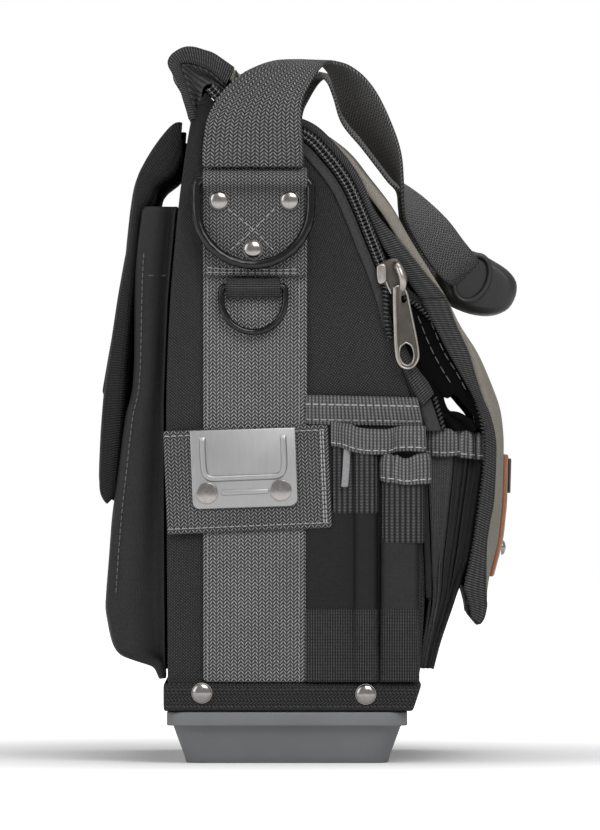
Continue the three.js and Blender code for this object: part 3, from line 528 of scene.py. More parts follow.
band_webbing = webbing("black_herringbone", 0.005, 0.08, rows=(2.2, 11.2), thread_colour=0.07)
band_low, band_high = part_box("base_band")
band_wall = 0.0016
band_side = band_high.x - band_wall / 2
band_back = 0.0576
band_fronts = (-0.0597, -0.0641)
band_corner = 0.0035


def band_ring(front, z):
    """One turn of the band at a height, as a closed line with rounded corners."""
    turns = []
    for x, y, start in ((1, 1, 0), (-1, 1, 1), (-1, -1, 2), (1, -1, 3)):
        for step in range(5):
            angle = (start + step / 4) * math.pi / 2
            middle_x = x * (band_side - band_corner)
            middle_y = band_back - band_corner if y > 0 else front + band_corner
            aside, ahead = band_corner * math.cos(angle), band_corner * math.sin(angle)
            turns.append(Vector((middle_x + aside, middle_y + ahead, z)))
    return turns + [turns[0].copy()]


def stretch_line(points, step=0.004):
    """The same line with more points on its long stretches."""
    longer = []
    for p, q in zip(points, points[1:]):
        pieces = max(1, int((q - p).length / step))
        longer += [p.lerp(q, i / pieces) for i in range(pieces)]
    return longer + [points[-1]]


band_lower = stretch_line(band_ring(band_fronts[0], band_low.z))
band_upper = stretch_line(band_ring(band_fronts[1], band_high.z))
shared = min(len(band_lower), len(band_upper))
band_rows = []
for i in range(shared):
    low = band_lower[round(i * (len(band_lower) - 1) / (shared - 1))]
    high = band_upper[round(i * (len(band_upper) - 1) / (shared - 1))]
    band_rows.append([low.lerp(high, c / 4) for c in range(5)])
base_band = sheet("base_webbing_band", band_rows, band_wall, side=0, smooth=1)
edit(base_band, (bpy.ops.mesh.remove_doubles, {"threshold": 1e-5}))
fit(base_band, "bag", band_webbing, "black_webbing", "base_band")

# The rivets are polished steel caps on hollow shanks, with a flat skirt round a low dome. Each row
# of them is set against a strip inside the cloth.
polished_steel = mottled(
    "polished_steel", (0.002, 4), (0.25, 0.235, 0.225), (0.42, 0.40, 0.385), 0.12, 0.1, (0.006, 1), 0.00002,
    Metallic=1.0)


def rivet_head(place, radius, rise=0.0019):
    """A low dome with a thin skirt, facing the near side, its underside at a place."""
    skirt = 0.0004
    bpy.ops.object.select_all(action="DESELECT")
    bpy.ops.mesh.primitive_uv_sphere_add(segments=40, ring_count=20, radius=radius, rotation=(0, math.pi / 2, 0))
    head = bpy.context.object
    bpy.ops.object.transform_apply(location=False, rotation=True, scale=False)
    head.scale = ((rise - skirt) / radius, 0.95, 0.95)
    head.location = place - Vector((skirt, 0, 0))
    bpy.ops.object.transform_apply(location=True, rotation=False, scale=True)
    bpy.ops.object.mode_set(mode="EDIT")
    bpy.ops.mesh.select_all(action="SELECT")
    bpy.ops.mesh.bisect(
        plane_co=place - Vector((skirt, 0, 0)), plane_no=(1, 0, 0), use_fill=True, clear_outer=True)
    bpy.ops.mesh.select_all(action="DESELECT")
    bpy.ops.object.mode_set(mode="OBJECT")
    for face in head.data.polygons:
        face.select = face.normal.x > 0.9
    bpy.ops.object.mode_set(mode="EDIT")
    bpy.ops.mesh.inset(thickness=0.0001)
    bpy.ops.transform.resize(value=(1, 1.08, 1.08), center_override=place)
    bpy.ops.mesh.extrude_region_move(TRANSFORM_OT_translate={"value": (skirt, 0, 0)})
    bpy.ops.object.mode_set(mode="OBJECT")
    return head


def strip_inside(y0, y1, z0, z1, out):
    """The thin strip that a row of rivets is set against, with softened edges."""
    bpy.ops.object.select_all(action="DESELECT")
    bpy.ops.mesh.primitive_cube_add(size=1, location=mm(-out + 0.5, (y0 + y1) / 2, (z0 + z1) / 2))
    strip = bpy.context.object
    strip.scale = mm(1, y1 - y0, z1 - z0)
    bpy.ops.object.transform_apply(location=True, rotation=False, scale=True)
    apply(strip, "BEVEL", width=0.0003, segments=2)
    return strip


def join_pieces(name, *pieces):
    """One piece from several."""
    bpy.ops.object.select_all(action="DESELECT")
    for part in pieces:
        part.select_set(True)
    bpy.context.view_layer.objects.active = pieces[0]
    bpy.ops.object.join()
    pieces[0].name = name
    return pieces[0]


def rivets(name, places, seat, radius, strip, head=rivet_head):
    """Rivet heads at places on the near side, in one piece with the strip behind them."""
    heads = [head(mm(-seat, y, z), radius * 0.001) for y, z in places]
    joined = join_pieces(name, *heads, strip)
    smooth_edges(joined, 50)
    return joined


base_rivets = rivets("base_rivets_of_near_side", [(40, 33.6), (-38, 33)], 129.25, 4.9,
                     strip_inside(-44, 46, 28, 36, 122))
both_sides(base_rivets, "bag", polished_steel, "steel", "base_rivets_near")


# The zip has two rows of black coil. They lie shut from the ear down to the slider. Below it the body's row
# carries on down the mouth, and the flap's row goes with the flap. Two rows of pale dots along the shut coils are
# painted highlights: they stand for the glints on the coil's turns, and are made as tiny stitches of pale thread.
zip_line = [
    (36, 322), (29, 314.9), (20, 309.5), (5, 304), (-10, 298.7), (-20.5, 288.2), (-26.7, 280.1),
    (-30.9, 273), (-36.7, 259.7), (-40.9, 249.2), (-46.6, 235),
]
open_line = [
    (-46.6, 235), (-51.9, 220.6), (-59, 187.3), (-62.8, 175.4), (-66.2, 158.5), (-68.5, 110), (-69.5, 78.5),
]
coil_pitch = 0.0019
coil_wire = 0.0005
coil_reach = 0.0020

coil_plastic = mottled("zip_coil_plastic", (0.004, 3), 0.02, 0.05, 0.2, 0.15, (0.0005, 2), 0.00002)
zip_tape = woven("zip_tape_weave", 0.5, 0.005, 0.03, 0.00015, rough=0.7)
# Pale colour for the painted highlights on the coil's turns.
coil_highlight_thread = woven("painted_coil_highlight", 0.4, 0.12, 0.5, 0.0001)


def beside(line, distance):
    """A near-side line moved sideways: to the body's side of the zip if the distance is above 0."""
    moved = []
    for i, point in enumerate(line):
        ahead = line[min(i + 1, len(line) - 1)] - line[max(i - 1, 0)]
        across = Vector((0, -ahead.z, ahead.y)).normalized()
        moved.append(point + across * distance)
    return moved


def wires(name, lines, radius, sides, closed=False, caps=False, end=1):
    """Round wires through lines of points, made from one curve, whose ends may be thinner."""
    curve = bpy.data.curves.new(name, "CURVE")
    curve.dimensions = "3D"
    curve.bevel_depth = radius
    curve.bevel_resolution = sides
    curve.use_fill_caps = caps
    for points in lines:
        line = curve.splines.new("POLY")
        line.points.add(len(points) - 1)
        for k, (knot, point) in enumerate(zip(line.points, points)):
            knot.co = (*point, 1)
            knot.radius = end if k in (0, len(points) - 1) else 1
        line.use_cyclic_u = closed
    piece = bpy.data.objects.new(name, curve)
    bpy.context.scene.collection.objects.link(piece)
    only(piece)
    bpy.ops.object.convert(target="MESH")
    bpy.ops.object.shade_smooth()
    return piece


def rod(name, points, radius, closed=False, sides=3):
    """One round wire with flat ends."""
    return wires(name, [points], radius, sides, closed, caps=True)


def coil(name, line, side, reach=coil_reach):
    """A coil that winds along a line, leaning to one side of it."""
    turns = int(lengths(line)[-1] / coil_pitch)
    path = smooth_line(line, turns * 8 + 1)
    across = [q - p for p, q in zip(path, beside(path, 1.0))]
    wound = []
    for i, point in enumerate(path):
        angle = i / 8 * 2 * math.pi
        sway = across[i] * (side * reach * (0.62 + 0.62 * math.cos(angle)))
        wound.append(point + sway + Vector((-reach * 0.62 * math.sin(angle), 0, 0)))
    return rod(name, wound, coil_wire, sides=1)


def sew(name, lines, length=2.3, gap=0.8, radius=0.00026):
    """Stitches along lines of near-side points, each a small spindle that dips in at its ends."""
    parts = []
    for line in lines:
        total = lengths(line)[-1]
        count = max(1, int(total / ((length + gap) * 0.001)))
        path = smooth_line(line, count * 4 + 1)
        for s in range(count):
            a, m, b = path[s * 4], path[s * 4 + 1] * 0.3 + path[s * 4 + 2] * 0.7, path[s * 4 + 3]
            lift = Vector((-radius * 0.8, 0, 0))
            rising, falling = a.lerp(m, 0.35) + lift * 0.6, m.lerp(b, 0.65) + lift * 0.6
            parts.append([a - lift, rising, m + lift, falling, b - lift])
    return wires(name, parts, radius, 1, end=0.55)


def tape_rows(line, near, far, count, columns=5):
    a = smooth_line(beside(line, near), count)
    b = smooth_line(beside(line, far), count)
    return [[p.lerp(q, c / (columns - 1)) for c in range(columns)] for p, q in zip(a, b)]


chain_line = smooth_line(on_side(zip_line, side_out + 0.2), 40)
mouth_line = smooth_line(on_side(open_line, side_out + 0.2), 50)
chain_tape = sheet("shut_zip_tape_near", tape_rows(chain_line, -0.003, 0.003, 50), 0.0008)
both_sides(chain_tape, "bag", zip_tape, "zip_coil", "zip_chain_near")
for side, word in ((1, "body"), (-1, "flap")):
    shut_coil = coil(f"shut_{word}_coil_near", [p - Vector((0.0009, 0, 0)) for p in chain_line], side)
    both_sides(shut_coil, "bag", coil_plastic, "zip_coil")
over_coil = Vector((0.0026, 0, 0))
beside_chain = 0.0013
# Painted highlights: pale dots of thread beside the shut coils stand for the glints on the coil's turns.
coil_highlight_dots = sew("zip_chain_stitches_near", [
    [p - over_coil for p in beside(smooth_line(chain_line, 90), side)] for side in (-beside_chain, beside_chain)],
    0.9, 1.0, 0.0003)
both_sides(coil_highlight_dots, "bag", coil_highlight_thread, "zip_coil")
mouth_tape = sheet("open_zip_tape_near", tape_rows(mouth_line, 0.0001, 0.003, 50, 4), 0.0008)
both_sides(mouth_tape, "bag", zip_tape, "zip_coil", "zip_tape_body_near")
loose_stations = [mm(-129.6, -46.4, 229), mm(-130.4, -46.6, 219), mm(-130.2, -47, 211), mm(-127.6, -48.8, 202)]
mouth_coil = coil("open_body_coil_near", smooth_line(loose_stations, 30), 1, 0.0023)
mouth_coil_forward = mm(0, -2.4, 0)
mouth_coil.data.transform(Matrix.Translation(mouth_coil_forward))
both_sides(mouth_coil, "bag", coil_plastic, "zip_coil")


# Ribbed tape binds the raw edges along the zip and all round the flap. Its ribs run across it. A
# smooth strip of the same grey covers the seam behind the body's half of the zip.
def ribbed(name, dark, light, pitch=1.25, depth=0.0006, rows=(), thread_colour=0.12, lengthwise=False):
    """Tape with ribs across it, or along it, each wound with a finer yarn."""
    made, shade = new_material(name)
    u, v = chart_in_mm(shade)
    if lengthwise:
        u, v = v, u
    ribs = v.sine(pitch) * 0.5 + 0.5
    yarn = (u + ribs * 0.6).sine(1.5) * 0.5 + 0.5
    height = ribs * (0.4 + 0.6 * yarn)
    # Painted light and shade: the ribs' crowns are coloured lighter, a painted highlight, and the dips between
    # them darker, a painted shade, from the same height as the bump. Small patches vary it at random.
    painted_light_and_yarn_tone = height * (0.6 + shade.cloud(0.003, 2) * 0.6)
    colour = painted_light_and_yarn_tone.colour(dark, light)
    if rows:
        sewn = stitching(u, v, rows)
        colour = sewn.colour(colour, thread_colour)
    set_inputs(made, shade, {
        "Base Color": colour, "Roughness": 0.62 - height * 0.1, "Specular IOR Level": 0.25,
        "Normal": shade.bump(height, depth),
    })
    return made


ribbed_tape = ribbed("ribbed_black_tape", 0.004, 0.12, pitch=1.2)
dark_ribbed_tape = ribbed("dark_ribbed_tape", 0.003, 0.03, pitch=1.2)
smooth_binding = woven(
    "smooth_grey_binding", 0.45, 0.02, 0.075, 0.00012, rough=0.55, rows=(1.1,), thread_colour=0.02)
seam_line = smooth_line(on_side(zip_line[2:] + [(-51.2, 221), (-54.3, 209)], side_out + 0.9), 60)
seam_strip = sheet("seam_strip_near", tape_rows(seam_line, 0.0034, 0.0082, 70), 0.0010)
both_sides(seam_strip, "bag", smooth_binding, "black_webbing")

# The flap is olive canvas over a stiff core, fuller in its middle than at its sides. It runs from
# the ear behind the zip's end over the top and down the front, and all its edges are bound.
canvas = woven("olive_canvas", 0.55, (0.15, 0.138, 0.115), (0.47, 0.44, 0.375), 0.0002, rough=0.8)
ear_cloth = ribbed("dark_ear_lining", 0.02, 0.1, pitch=2.6, depth=0.0005)
flap_half = 124.6
skirt_out = 126.3
ear_line = [
    (45.9, 305.6, 0), (46.8, 311.6, 0), (48.1, 315.8, 0), (50, 321.5, 0), (52.4, 326.8, 0),
    (55.9, 332.6, 0), (55.4, 336.3, 0), (51.9, 339.4, 0), (48.1, 341.0, 0), (43.8, 341.0, 0),
    (39, 339.8, 0.1), (34.7, 338.2, 0.3),
]
top_line = [
    (34.7, 338.2, 0.3), (29, 334.4, 0.6), (20.9, 327.5, 1), (6, 317, 1.4), (-8.1, 306.8, 1.6),
    (-27.6, 292.5, 2.4), (-38.4, 279.4, 2.6), (-50, 264.9, 2), (-58.8, 250.2, 1.2),
    (-67.9, 235.6, 0.6), (-77, 221.1, 0.8),
]
front_edge = [
    (-77, 221.1, 0.8), (-82.1, 210.2, 1), (-90, 195.9, 2.4), (-94.2, 184.9, 3.4), (-97.5, 173, 4.8),
    (-99.3, 165.9, 5.0), (-100.6, 156, 4.8), (-100.9, 146.8, 4.6), (-100, 125.4, 4.9),
    (-98.1, 115.9, 6.0), (-96.2, 104, 6.4), (-95.9, 87.4, 2.4), (-95.9, 77.5, 0.4),
]


def crowned(line, half_width, count, skirts=(), columns=33):
    """Rows across the bag along a line, standing out in the middle by each point's third value.
    The skirts are how far the sheet turns down at each side, from its free edge inwards."""
    path = smooth_line(line, count)
    rows = []
    for i, point in enumerate(path):
        ahead = path[min(i + 1, count - 1)] - path[max(i - 1, 0)]
        out = Vector((0, ahead.y, -ahead.x)).normalized()
        spot = Vector((0, point.x, point.y))
        row = []
        for c in range(columns):
            x = c / (columns - 1) * 2 - 1
            row.append((spot + out * point.z * (1 - x * x) + Vector((x * half_width, 0, 0))) * 0.001)
        turned = [(spot - out * depth) * 0.001 for depth in skirts]
        sides = [[p + Vector((side * skirt_out * 0.001, 0, 0)) for p in turned] for side in (-1, 1)]
        rows.append(sides[0] + row + sides[1][::-1])
    return rows


def side_band(name, edge, inner, out, count=60, lift=0.0008):
    """A bound edge on the near side of the bag, from its outer line to its inner one."""
    rows = ruled(on_side(edge, out), on_side(inner, out), count, 9)
    for row in rows:
        for c, point in enumerate(row):
            point.x += lift * (1 - math.sin(math.pi * c / 8) ** 0.5)
    return sheet(name, rows, 0.0012, side=1)


flap_top = sheet("flap_top_canvas", crowned(top_line, flap_half, 70, (5.5, 2.4, 0.7)), 0.0018, side=1)
fit(flap_top, "bag", canvas, "canvas", "flap_top")
ear = sheet("flap_ear", crowned(ear_line, flap_half, 40, (3, 0.8)), 0.0022, side=1)
fit(ear, "bag", ear_cloth, "black_webbing")
zip_edge = beside(on_side(zip_line, 0), -0.0034)
zip_side = [(p.y * 1000, p.z * 1000) for p in zip_edge]
band_edge = beside(on_side(zip_line[2:9], 0), -0.0060)
top_outer = [(24.3, 331.1)] + [(p.y * 1000, p.z * 1000) for p in band_edge] + [
    (-55.8, 246.4), (-65.8, 234), (-77, 221.1),
]
top_inner = [(25, 315)] + zip_side[2:9] + [(-47, 245), (-56.5, 232), (-64.3, 221.1)]
top_band = side_band("flap_top_binding_near", top_outer, top_inner, 127.2)
both_sides(top_band, "bag", ribbed_tape, "black_webbing")
ear_outer = [
    (45.4, 306.3), (46.9, 311.6), (48.3, 315.9), (50, 321.4), (52.2, 326.8), (55.9, 332.8),
    (55.2, 336.3), (51.9, 339.2), (48.1, 341.0), (43.8, 341.0), (39, 339.6), (34.7, 338.2),
    (29, 334.4), (24.3, 331.1),
]
ear_hem = [
    (43.6, 307), (44.6, 311.9), (45.9, 316.4), (47.4, 321.6), (48.5, 326), (50.4, 331.2), (50.2, 333.2),
    (48.5, 333.9), (46.6, 333.9), (43.6, 333.2), (41.4, 332.5), (36.2, 330.1), (32.8, 327.3),
    (28.1, 323.0),
]
ear_root = [
    (41, 307), (40.5, 311), (40, 315), (39.6, 318), (39.4, 320), (38.6, 321.6), (37.4, 322.6),
    (36, 323), (34, 322.4), (32, 321.4), (30, 320), (27.6, 318.4), (25, 316.8), (22.4, 315),
]
ear_band = side_band("flap_ear_binding_near", ear_outer, ear_hem, 126.9, count=50)
both_sides(ear_band, "bag", ribbed_tape, "black_webbing")
ear_rows = ruled(on_side(ear_hem, 126), on_side(ear_root, 126), 46, 12)
for row in ear_rows:
    for c, point in enumerate(row):
        point.x += 0.0045 * math.sin(math.pi * c / 11) + 0.0012 * noise.noise(point / 0.006)
ear_inside = sheet("flap_ear_lining_near", ear_rows, 0.0014, side=1)
both_sides(ear_inside, "bag", ear_cloth, "black_webbing")

# Below its hinge line the flap hangs free. Ribbed tape binds its sides, and wraps its foot, where the front ends
# in a narrow hook. Cloth and tape run on over the hinge line.
def cut_size(rows):
    """The flat width and length of cloth through these rows, in metres."""
    return lengths(rows[len(rows) // 2])[-1], lengths([row[len(row) // 2] for row in rows])[-1]


def over_hinge(piece, material, slot, start, end, *nodes, bodies=("bag", "front_flap")):
    """Dresses cloth and bakes its place into its mesh; the places and bodies that it is given are not used."""
    dress(piece, material, slot, *nodes)
    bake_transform(piece)


fold_start, fold_end = mm(0, -77, 220.5), mm(0, -85.5, 203)
flap_rows = crowned(front_edge, flap_half, 74, (5.5, 2.4, 0.7))
front_flap = sheet("front_flap_canvas", flap_rows, 0.0018, side=1)
cut_size(flap_rows)
over_hinge(front_flap, canvas, "canvas", fold_start, fold_end, "front_flap")
foot_edge = [(-95.9, 77.5), (-95.9, 75.9), (-94.4, 69.4), (-91.2, 65.7), (-88.5, 68.8), (-87.9, 73.7)]
inside_edge = [0, 1.6, 3.2, 4.2, 4.0, 2.6, 1.4, 1.2, 1.2, 1.0, 0.8, 0.6, 0.3]
binding_outer = [(p[0] + step, p[1]) for p, step in zip(front_edge, inside_edge)]
binding_outer += [(-95.9, 75.9), (-94.4, 69.4), (-92, 66.2)]
binding_inner = [
    (-64.3, 221.1), (-70.4, 209.1), (-77.4, 195.9), (-83.9, 184.9), (-90.6, 173), (-94.4, 161.1), (-95.3, 151.6),
    (-94.5, 139.7), (-92.6, 125.4), (-89.9, 106.4), (-88, 96.9), (-85.6, 87.4), (-84.8, 84), (-85.7, 81.2),
    (-87.9, 73.7), (-88.8, 68.6),
]
front_band = side_band("front_flap_side_binding_near", binding_outer, binding_inner, 127.2, count=94)
for band in (front_band, mirror_image(front_band)):
    over_hinge(band, ribbed_tape, "black_webbing", fold_start, fold_end)
foot_rows = across_bag(on_side(foot_edge + [(-86.4, 80), (-85, 84)], 0), 0.1264, 41, 30)
foot_binding = sheet("front_flap_foot_binding", foot_rows, 0.0018, side=1)
fit(foot_binding, "front_flap", ribbed_tape, "black_webbing", "front_flap_binding")


# The flap's half of the zip leaves the slider and is sewn inside the flap's bound edge. A black facing with two
# rows of white stitches lies behind it, and a black gusset stands out from the body's edge to meet it. Both are
# coloured near-black, darker than the other nylon, as painted shade of the bag's dark inside at the mouth. The
# body's ribbed tape ends there.
def photo_mm(x, y):
    """The place on the near side, in millimetres, of a pixel of the photographed frame."""
    return -(x - 286) * 0.476, (763.5 - y) * 0.476


def from_photo(out, *spots):
    """Near-side points at a distance out, from pixels of the photographed frame."""
    return on_side([photo_mm(x, y) for x, y in spots], out)


flap_zip = [
    (-55, 225.5), (-58.3, 222), (-62.8, 219.2), (-67.4, 214.5), (-75, 206.5), (-81.5, 196), (-87, 185),
    (-91.8, 173), (-95, 160), (-96, 151.6), (-95.6, 139.7), (-93.8, 125.4), (-91.2, 106.4),
    (-89.4, 96.9), (-87.6, 88),
]
zip_fold = (mm(0, -60, 221.5), mm(0, -75, 201))
flap_zip_line = smooth_line(on_side(flap_zip, 125.8), 60)
flap_tape = sheet("flap_zip_tape_near", tape_rows(flap_zip_line, -0.0032, 0.0006, 60, 4), 0.0008)
flap_coil = coil("open_flap_coil_near", flap_zip_line, 1, 0.0016)
# Near-black cloth for the facing and gusset: its darkness is painted shade of the bag's inside at the mouth.
mouth_shade_lining = woven("black_mouth_shade_lining", 0.5, 0.001, 0.003, 0.0002, rough=0.9, gloss=0.1)
facing_rows = ruled(
    from_photo(124.8, (401, 290), (420, 303), (434, 318), (448, 342), (461, 366), (472, 391), (479, 412),
               (481, 425)),
    from_photo(123.9, (390, 300), (402, 330), (418, 362), (436, 388), (447, 399), (454, 394.5), (463.5, 404.5),
               (472, 415), (479, 430)),
    60, 12)
facing = sheet("flap_facing_near", facing_rows, 0.0008, side=-1)
facing_thread = woven("facing_thread", 0.4, 0.12, 0.3, 0.0001)
facing_stitches = sew("flap_facing_stitches_near", [
    from_photo(125.7, (418, 316), (430, 346), (441, 367), (452, 385)),
    from_photo(125.7, (431, 322), (444, 352), (457, 373), (467, 392))], 1.6, 3.4, 0.00024)
for piece, material, slot, node in (
        (flap_tape, zip_tape, "zip_coil", "zip_tape_flap_near"), (flap_coil, coil_plastic, "zip_coil", None),
        (facing, mouth_shade_lining, "cloth", None), (facing_stitches, facing_thread, "cloth", None)):
    nodes = [node] if node else []
    over_hinge(piece, material, slot, *zip_fold, *nodes)
    over_hinge(mirror_image(piece), material, slot, *zip_fold, *[n.replace("_near", "_far") for n in nodes])

gusset_rows = ruled(
    from_photo(123.4, (384, 290), (390, 318), (398, 345), (406, 372), (414, 396), (422, 414), (428, 431)),
    from_photo(122.6, (404, 296), (414, 318), (427, 345), (438, 374), (445.6, 402), (450.5, 412.6), (459, 413.6),
               (467, 417.5), (474, 422), (477, 431)), 70, 20)
for row in gusset_rows:
    for c, point in enumerate(row):
        low = max(0, (0.176 - point.z) / 0.02)
        point.x += 0.0012 * noise.noise(point / 0.012) - 0.0022 * low * math.sin(c * 0.9 + point.z * 300)
gusset = sheet("mouth_gusset_near", gusset_rows, 0.0009, side=-1)
both_sides(gusset, "bag", mouth_shade_lining, "cloth")
smooth_rows = ruled(
    from_photo(126.6, (412, 386), (419, 405), (426, 431)),
    from_photo(125.4, (428, 392), (435, 410), (442, 431)), 24, 7)
smooth_corner = sheet("mouth_corner_near", smooth_rows, 0.0009, side=-1)
both_sides(smooth_corner, "bag", smooth_binding, "cloth")
corner_line = smooth_line(from_photo(126.2, (433, 398), (437, 412), (442, 430)), 20)
corner_coil = coil("mouth_corner_coil_near", corner_line, -1, 0.0015)
both_sides(corner_coil, "bag", coil_plastic, "zip_coil")
end_rows = ruled(
    from_photo(127.9, (396, 350), (404.8, 371), (413.3, 389.4), (423, 406.4)),
    from_photo(127.6, (404, 345), (415, 366), (427, 381), (434, 394)), 40, 9)
for row in end_rows:
    for c, point in enumerate(row):
        point.x -= 0.0012 * math.sin(math.pi * c / 8)
tape_end = sheet("mouth_tape_end_near", end_rows, 0.0012, side=-1)
both_sides(tape_end, "bag", ribbed_tape, "black_webbing")

# A leather patch is sewn on the flap's crown. Its face is smooth and bare and its cut edge raw. A
# small nickel hook, 1.8 mm forward of its solid, lies on the leather, and a screw holds it.
leather, shade = new_material("tanned_leather")
across = abs(shade.node("ShaderNodeSeparateXYZ", {}, {0: shade.node("ShaderNodeTexCoord", output=3)}, 0))
raw_edge_from = 0.0287
edge = across > raw_edge_from
hide = shade.cloud(0.007, 5)
pores = shade.cloud(0.0007, 2)
face = hide.colour((0.12, 0.05, 0.038), (0.24, 0.105, 0.08))
raw = hide.colour((0.32, 0.105, 0.04), (0.46, 0.17, 0.07))
set_inputs(leather, shade, {
    "Base Color": edge.colour(face, raw), "Roughness": 0.36 + pores * 0.12 + edge * 0.25,
    "Normal": shade.bump(pores + hide, 0.00025),
})
leather_half = 0.030
leather_bow, leather_face = 0.8, 1.7
flap_edge = 0.1239
patch_stations = front_edge[7:12]
patch_rows = []
for point in smooth_line(patch_stations, 40):
    row = []
    for c in range(17):
        x = (c / 8 - 1) * leather_half
        belly = point.z * (1 - (x / flap_edge) ** 2) + leather_bow * (1 - (x / leather_half) ** 2)
        row.append(Vector((x, (point.x - belly - leather_face) * 0.001, point.y * 0.001)))
    patch_rows.append(row)
leather_patch = sheet("leather_patch", patch_rows, 0.0021, side=1)
fit(leather_patch, "front_flap", leather, "leather", "leather_patch")

# Dark nickel. On the slider and pull it is the dark copy of their metal, and its darkness is painted shade on
# their flat faces.
nickel = mottled(
    "dark_nickel", (0.003, 4), (0.07, 0.062, 0.056), (0.12, 0.108, 0.098), 0.34, 0.12, (0.002, 2), 0.00002,
    Metallic=1.0)


chart_in_metres = (bpy.ops.uv.cube_project, {"cube_size": 1, "correct_aspect": False})


def cad_copy(name, node, bevel=0.0, levels=0, merge_flats=True):
    """A copy of a node's own mesh with its corners rounded, and its UV map in metres."""
    piece = bpy.data.objects.new(name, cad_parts[node].data.copy())
    bpy.context.scene.collection.objects.link(piece)
    steps = [(bpy.ops.mesh.remove_doubles, {"threshold": 2e-5})]
    if merge_flats:
        steps.append((bpy.ops.mesh.dissolve_limited, {"angle_limit": math.radians(1)}))
    edit(piece, *steps, chart_in_metres)
    if bevel:
        apply(piece, "BEVEL", width=bevel, segments=3, limit_method="ANGLE", angle_limit=math.radians(30))
    if levels:
        apply(piece, "SUBSURF", levels=levels, render_levels=levels)
    smooth_edges(piece, 50)
    return piece


hook = cad_copy("nickel_hook", "patch_hook", 0.0005)
hook_forward = mm(0, -1.8, 0)
hook.data.transform(Matrix.Translation(hook_forward))
fit(hook, "front_flap", nickel, "nickel", "patch_hook")
screw = rivet_head(Vector((0, 0, 0)), 0.0038, 0.0022)
screw.name = "patch_screw"
screw_seat = mm(0, -104.5, 101.6)
screw.data.transform(Matrix.Translation(screw_seat) @ Matrix.Rotation(math.pi / 2, 4, "Z"))
smooth_edges(screw, 50)
fit(screw, "front_flap", polished_steel, "steel")


# Three pockets hang under the flap, each on the one behind it. Their sides fold like a bellows, and
# grey tape is folded over their top edges. Piping runs down the outermost one's corners.
def hem(name, rim, below, thick=0.0009):
    """Tape folded over the top edge of a pocket, from a line below the rim to one inside it."""
    rows = []
    for i, (top, foot) in enumerate(zip(rim, below)):
        ahead = rim[min(i + 1, len(rim) - 1)] - rim[max(i - 1, 0)]
        out = ahead.cross(top - foot).normalized() * thick
        up = (top - foot).normalized() * thick
        rows.append([
            foot + out, top.lerp(foot, 0.5) + out * 1.3, top + out, top + up, top - out,
            top.lerp(foot, 0.6) - out,
        ])
    return sheet(name, rows, 0.0008, side=0)


def at_height(line, z):
    """Where a line of (y, z) points crosses a height."""
    for (y0, z0), (y1, z1) in zip(line, line[1:]):
        if min(z0, z1) <= z <= max(z0, z1):
            return y0 + (y1 - y0) * (z - z0) / max(z1 - z0, 1e-9) if z1 != z0 else y0
    return line[-1][0] if abs(line[-1][1] - z) < abs(line[0][1] - z) else line[0][0]


grey_hem = ribbed("grey_pocket_tape", 0.03, 0.25, pitch=1.7, depth=0.0004, rows=(2.6, 10.2), thread_colour=0.42)
foot_sewn_hem = ribbed("grey_loop_tape", 0.03, 0.28, pitch=1.7, depth=0.0004, rows=(1.8,), thread_colour=0.5)
pocket_nylon = woven("fine_black_nylon", 0.6, 0.008, 0.05, 0.00025, rough=0.55)
# The inner pocket's nylon is a lighter copy of the black nylon: its raised colour is painted light, where its
# gusset is lit.
lit_gusset_nylon = woven("lit_black_nylon", 0.6, 0.018, 0.11, 0.00025, rough=0.5)


def wavy_hem(name, stations):
    """A hem from stations of the photographed side: x, the rim's y, the foot's y, distance out."""
    rims = []
    feet = []
    for x, top, foot, out in stations:
        y, z = photo_mm(x, top)
        rims.append(mm(-out, y, z))
        y, z = photo_mm(x, foot)
        feet.append(mm(-out + 0.3, y, z))
    rim = smooth_line(rims, 60)
    foot = smooth_line(feet, 60)
    both_sides(hem(name, rim, foot), "bag", foot_sewn_hem, "grey_webbing")


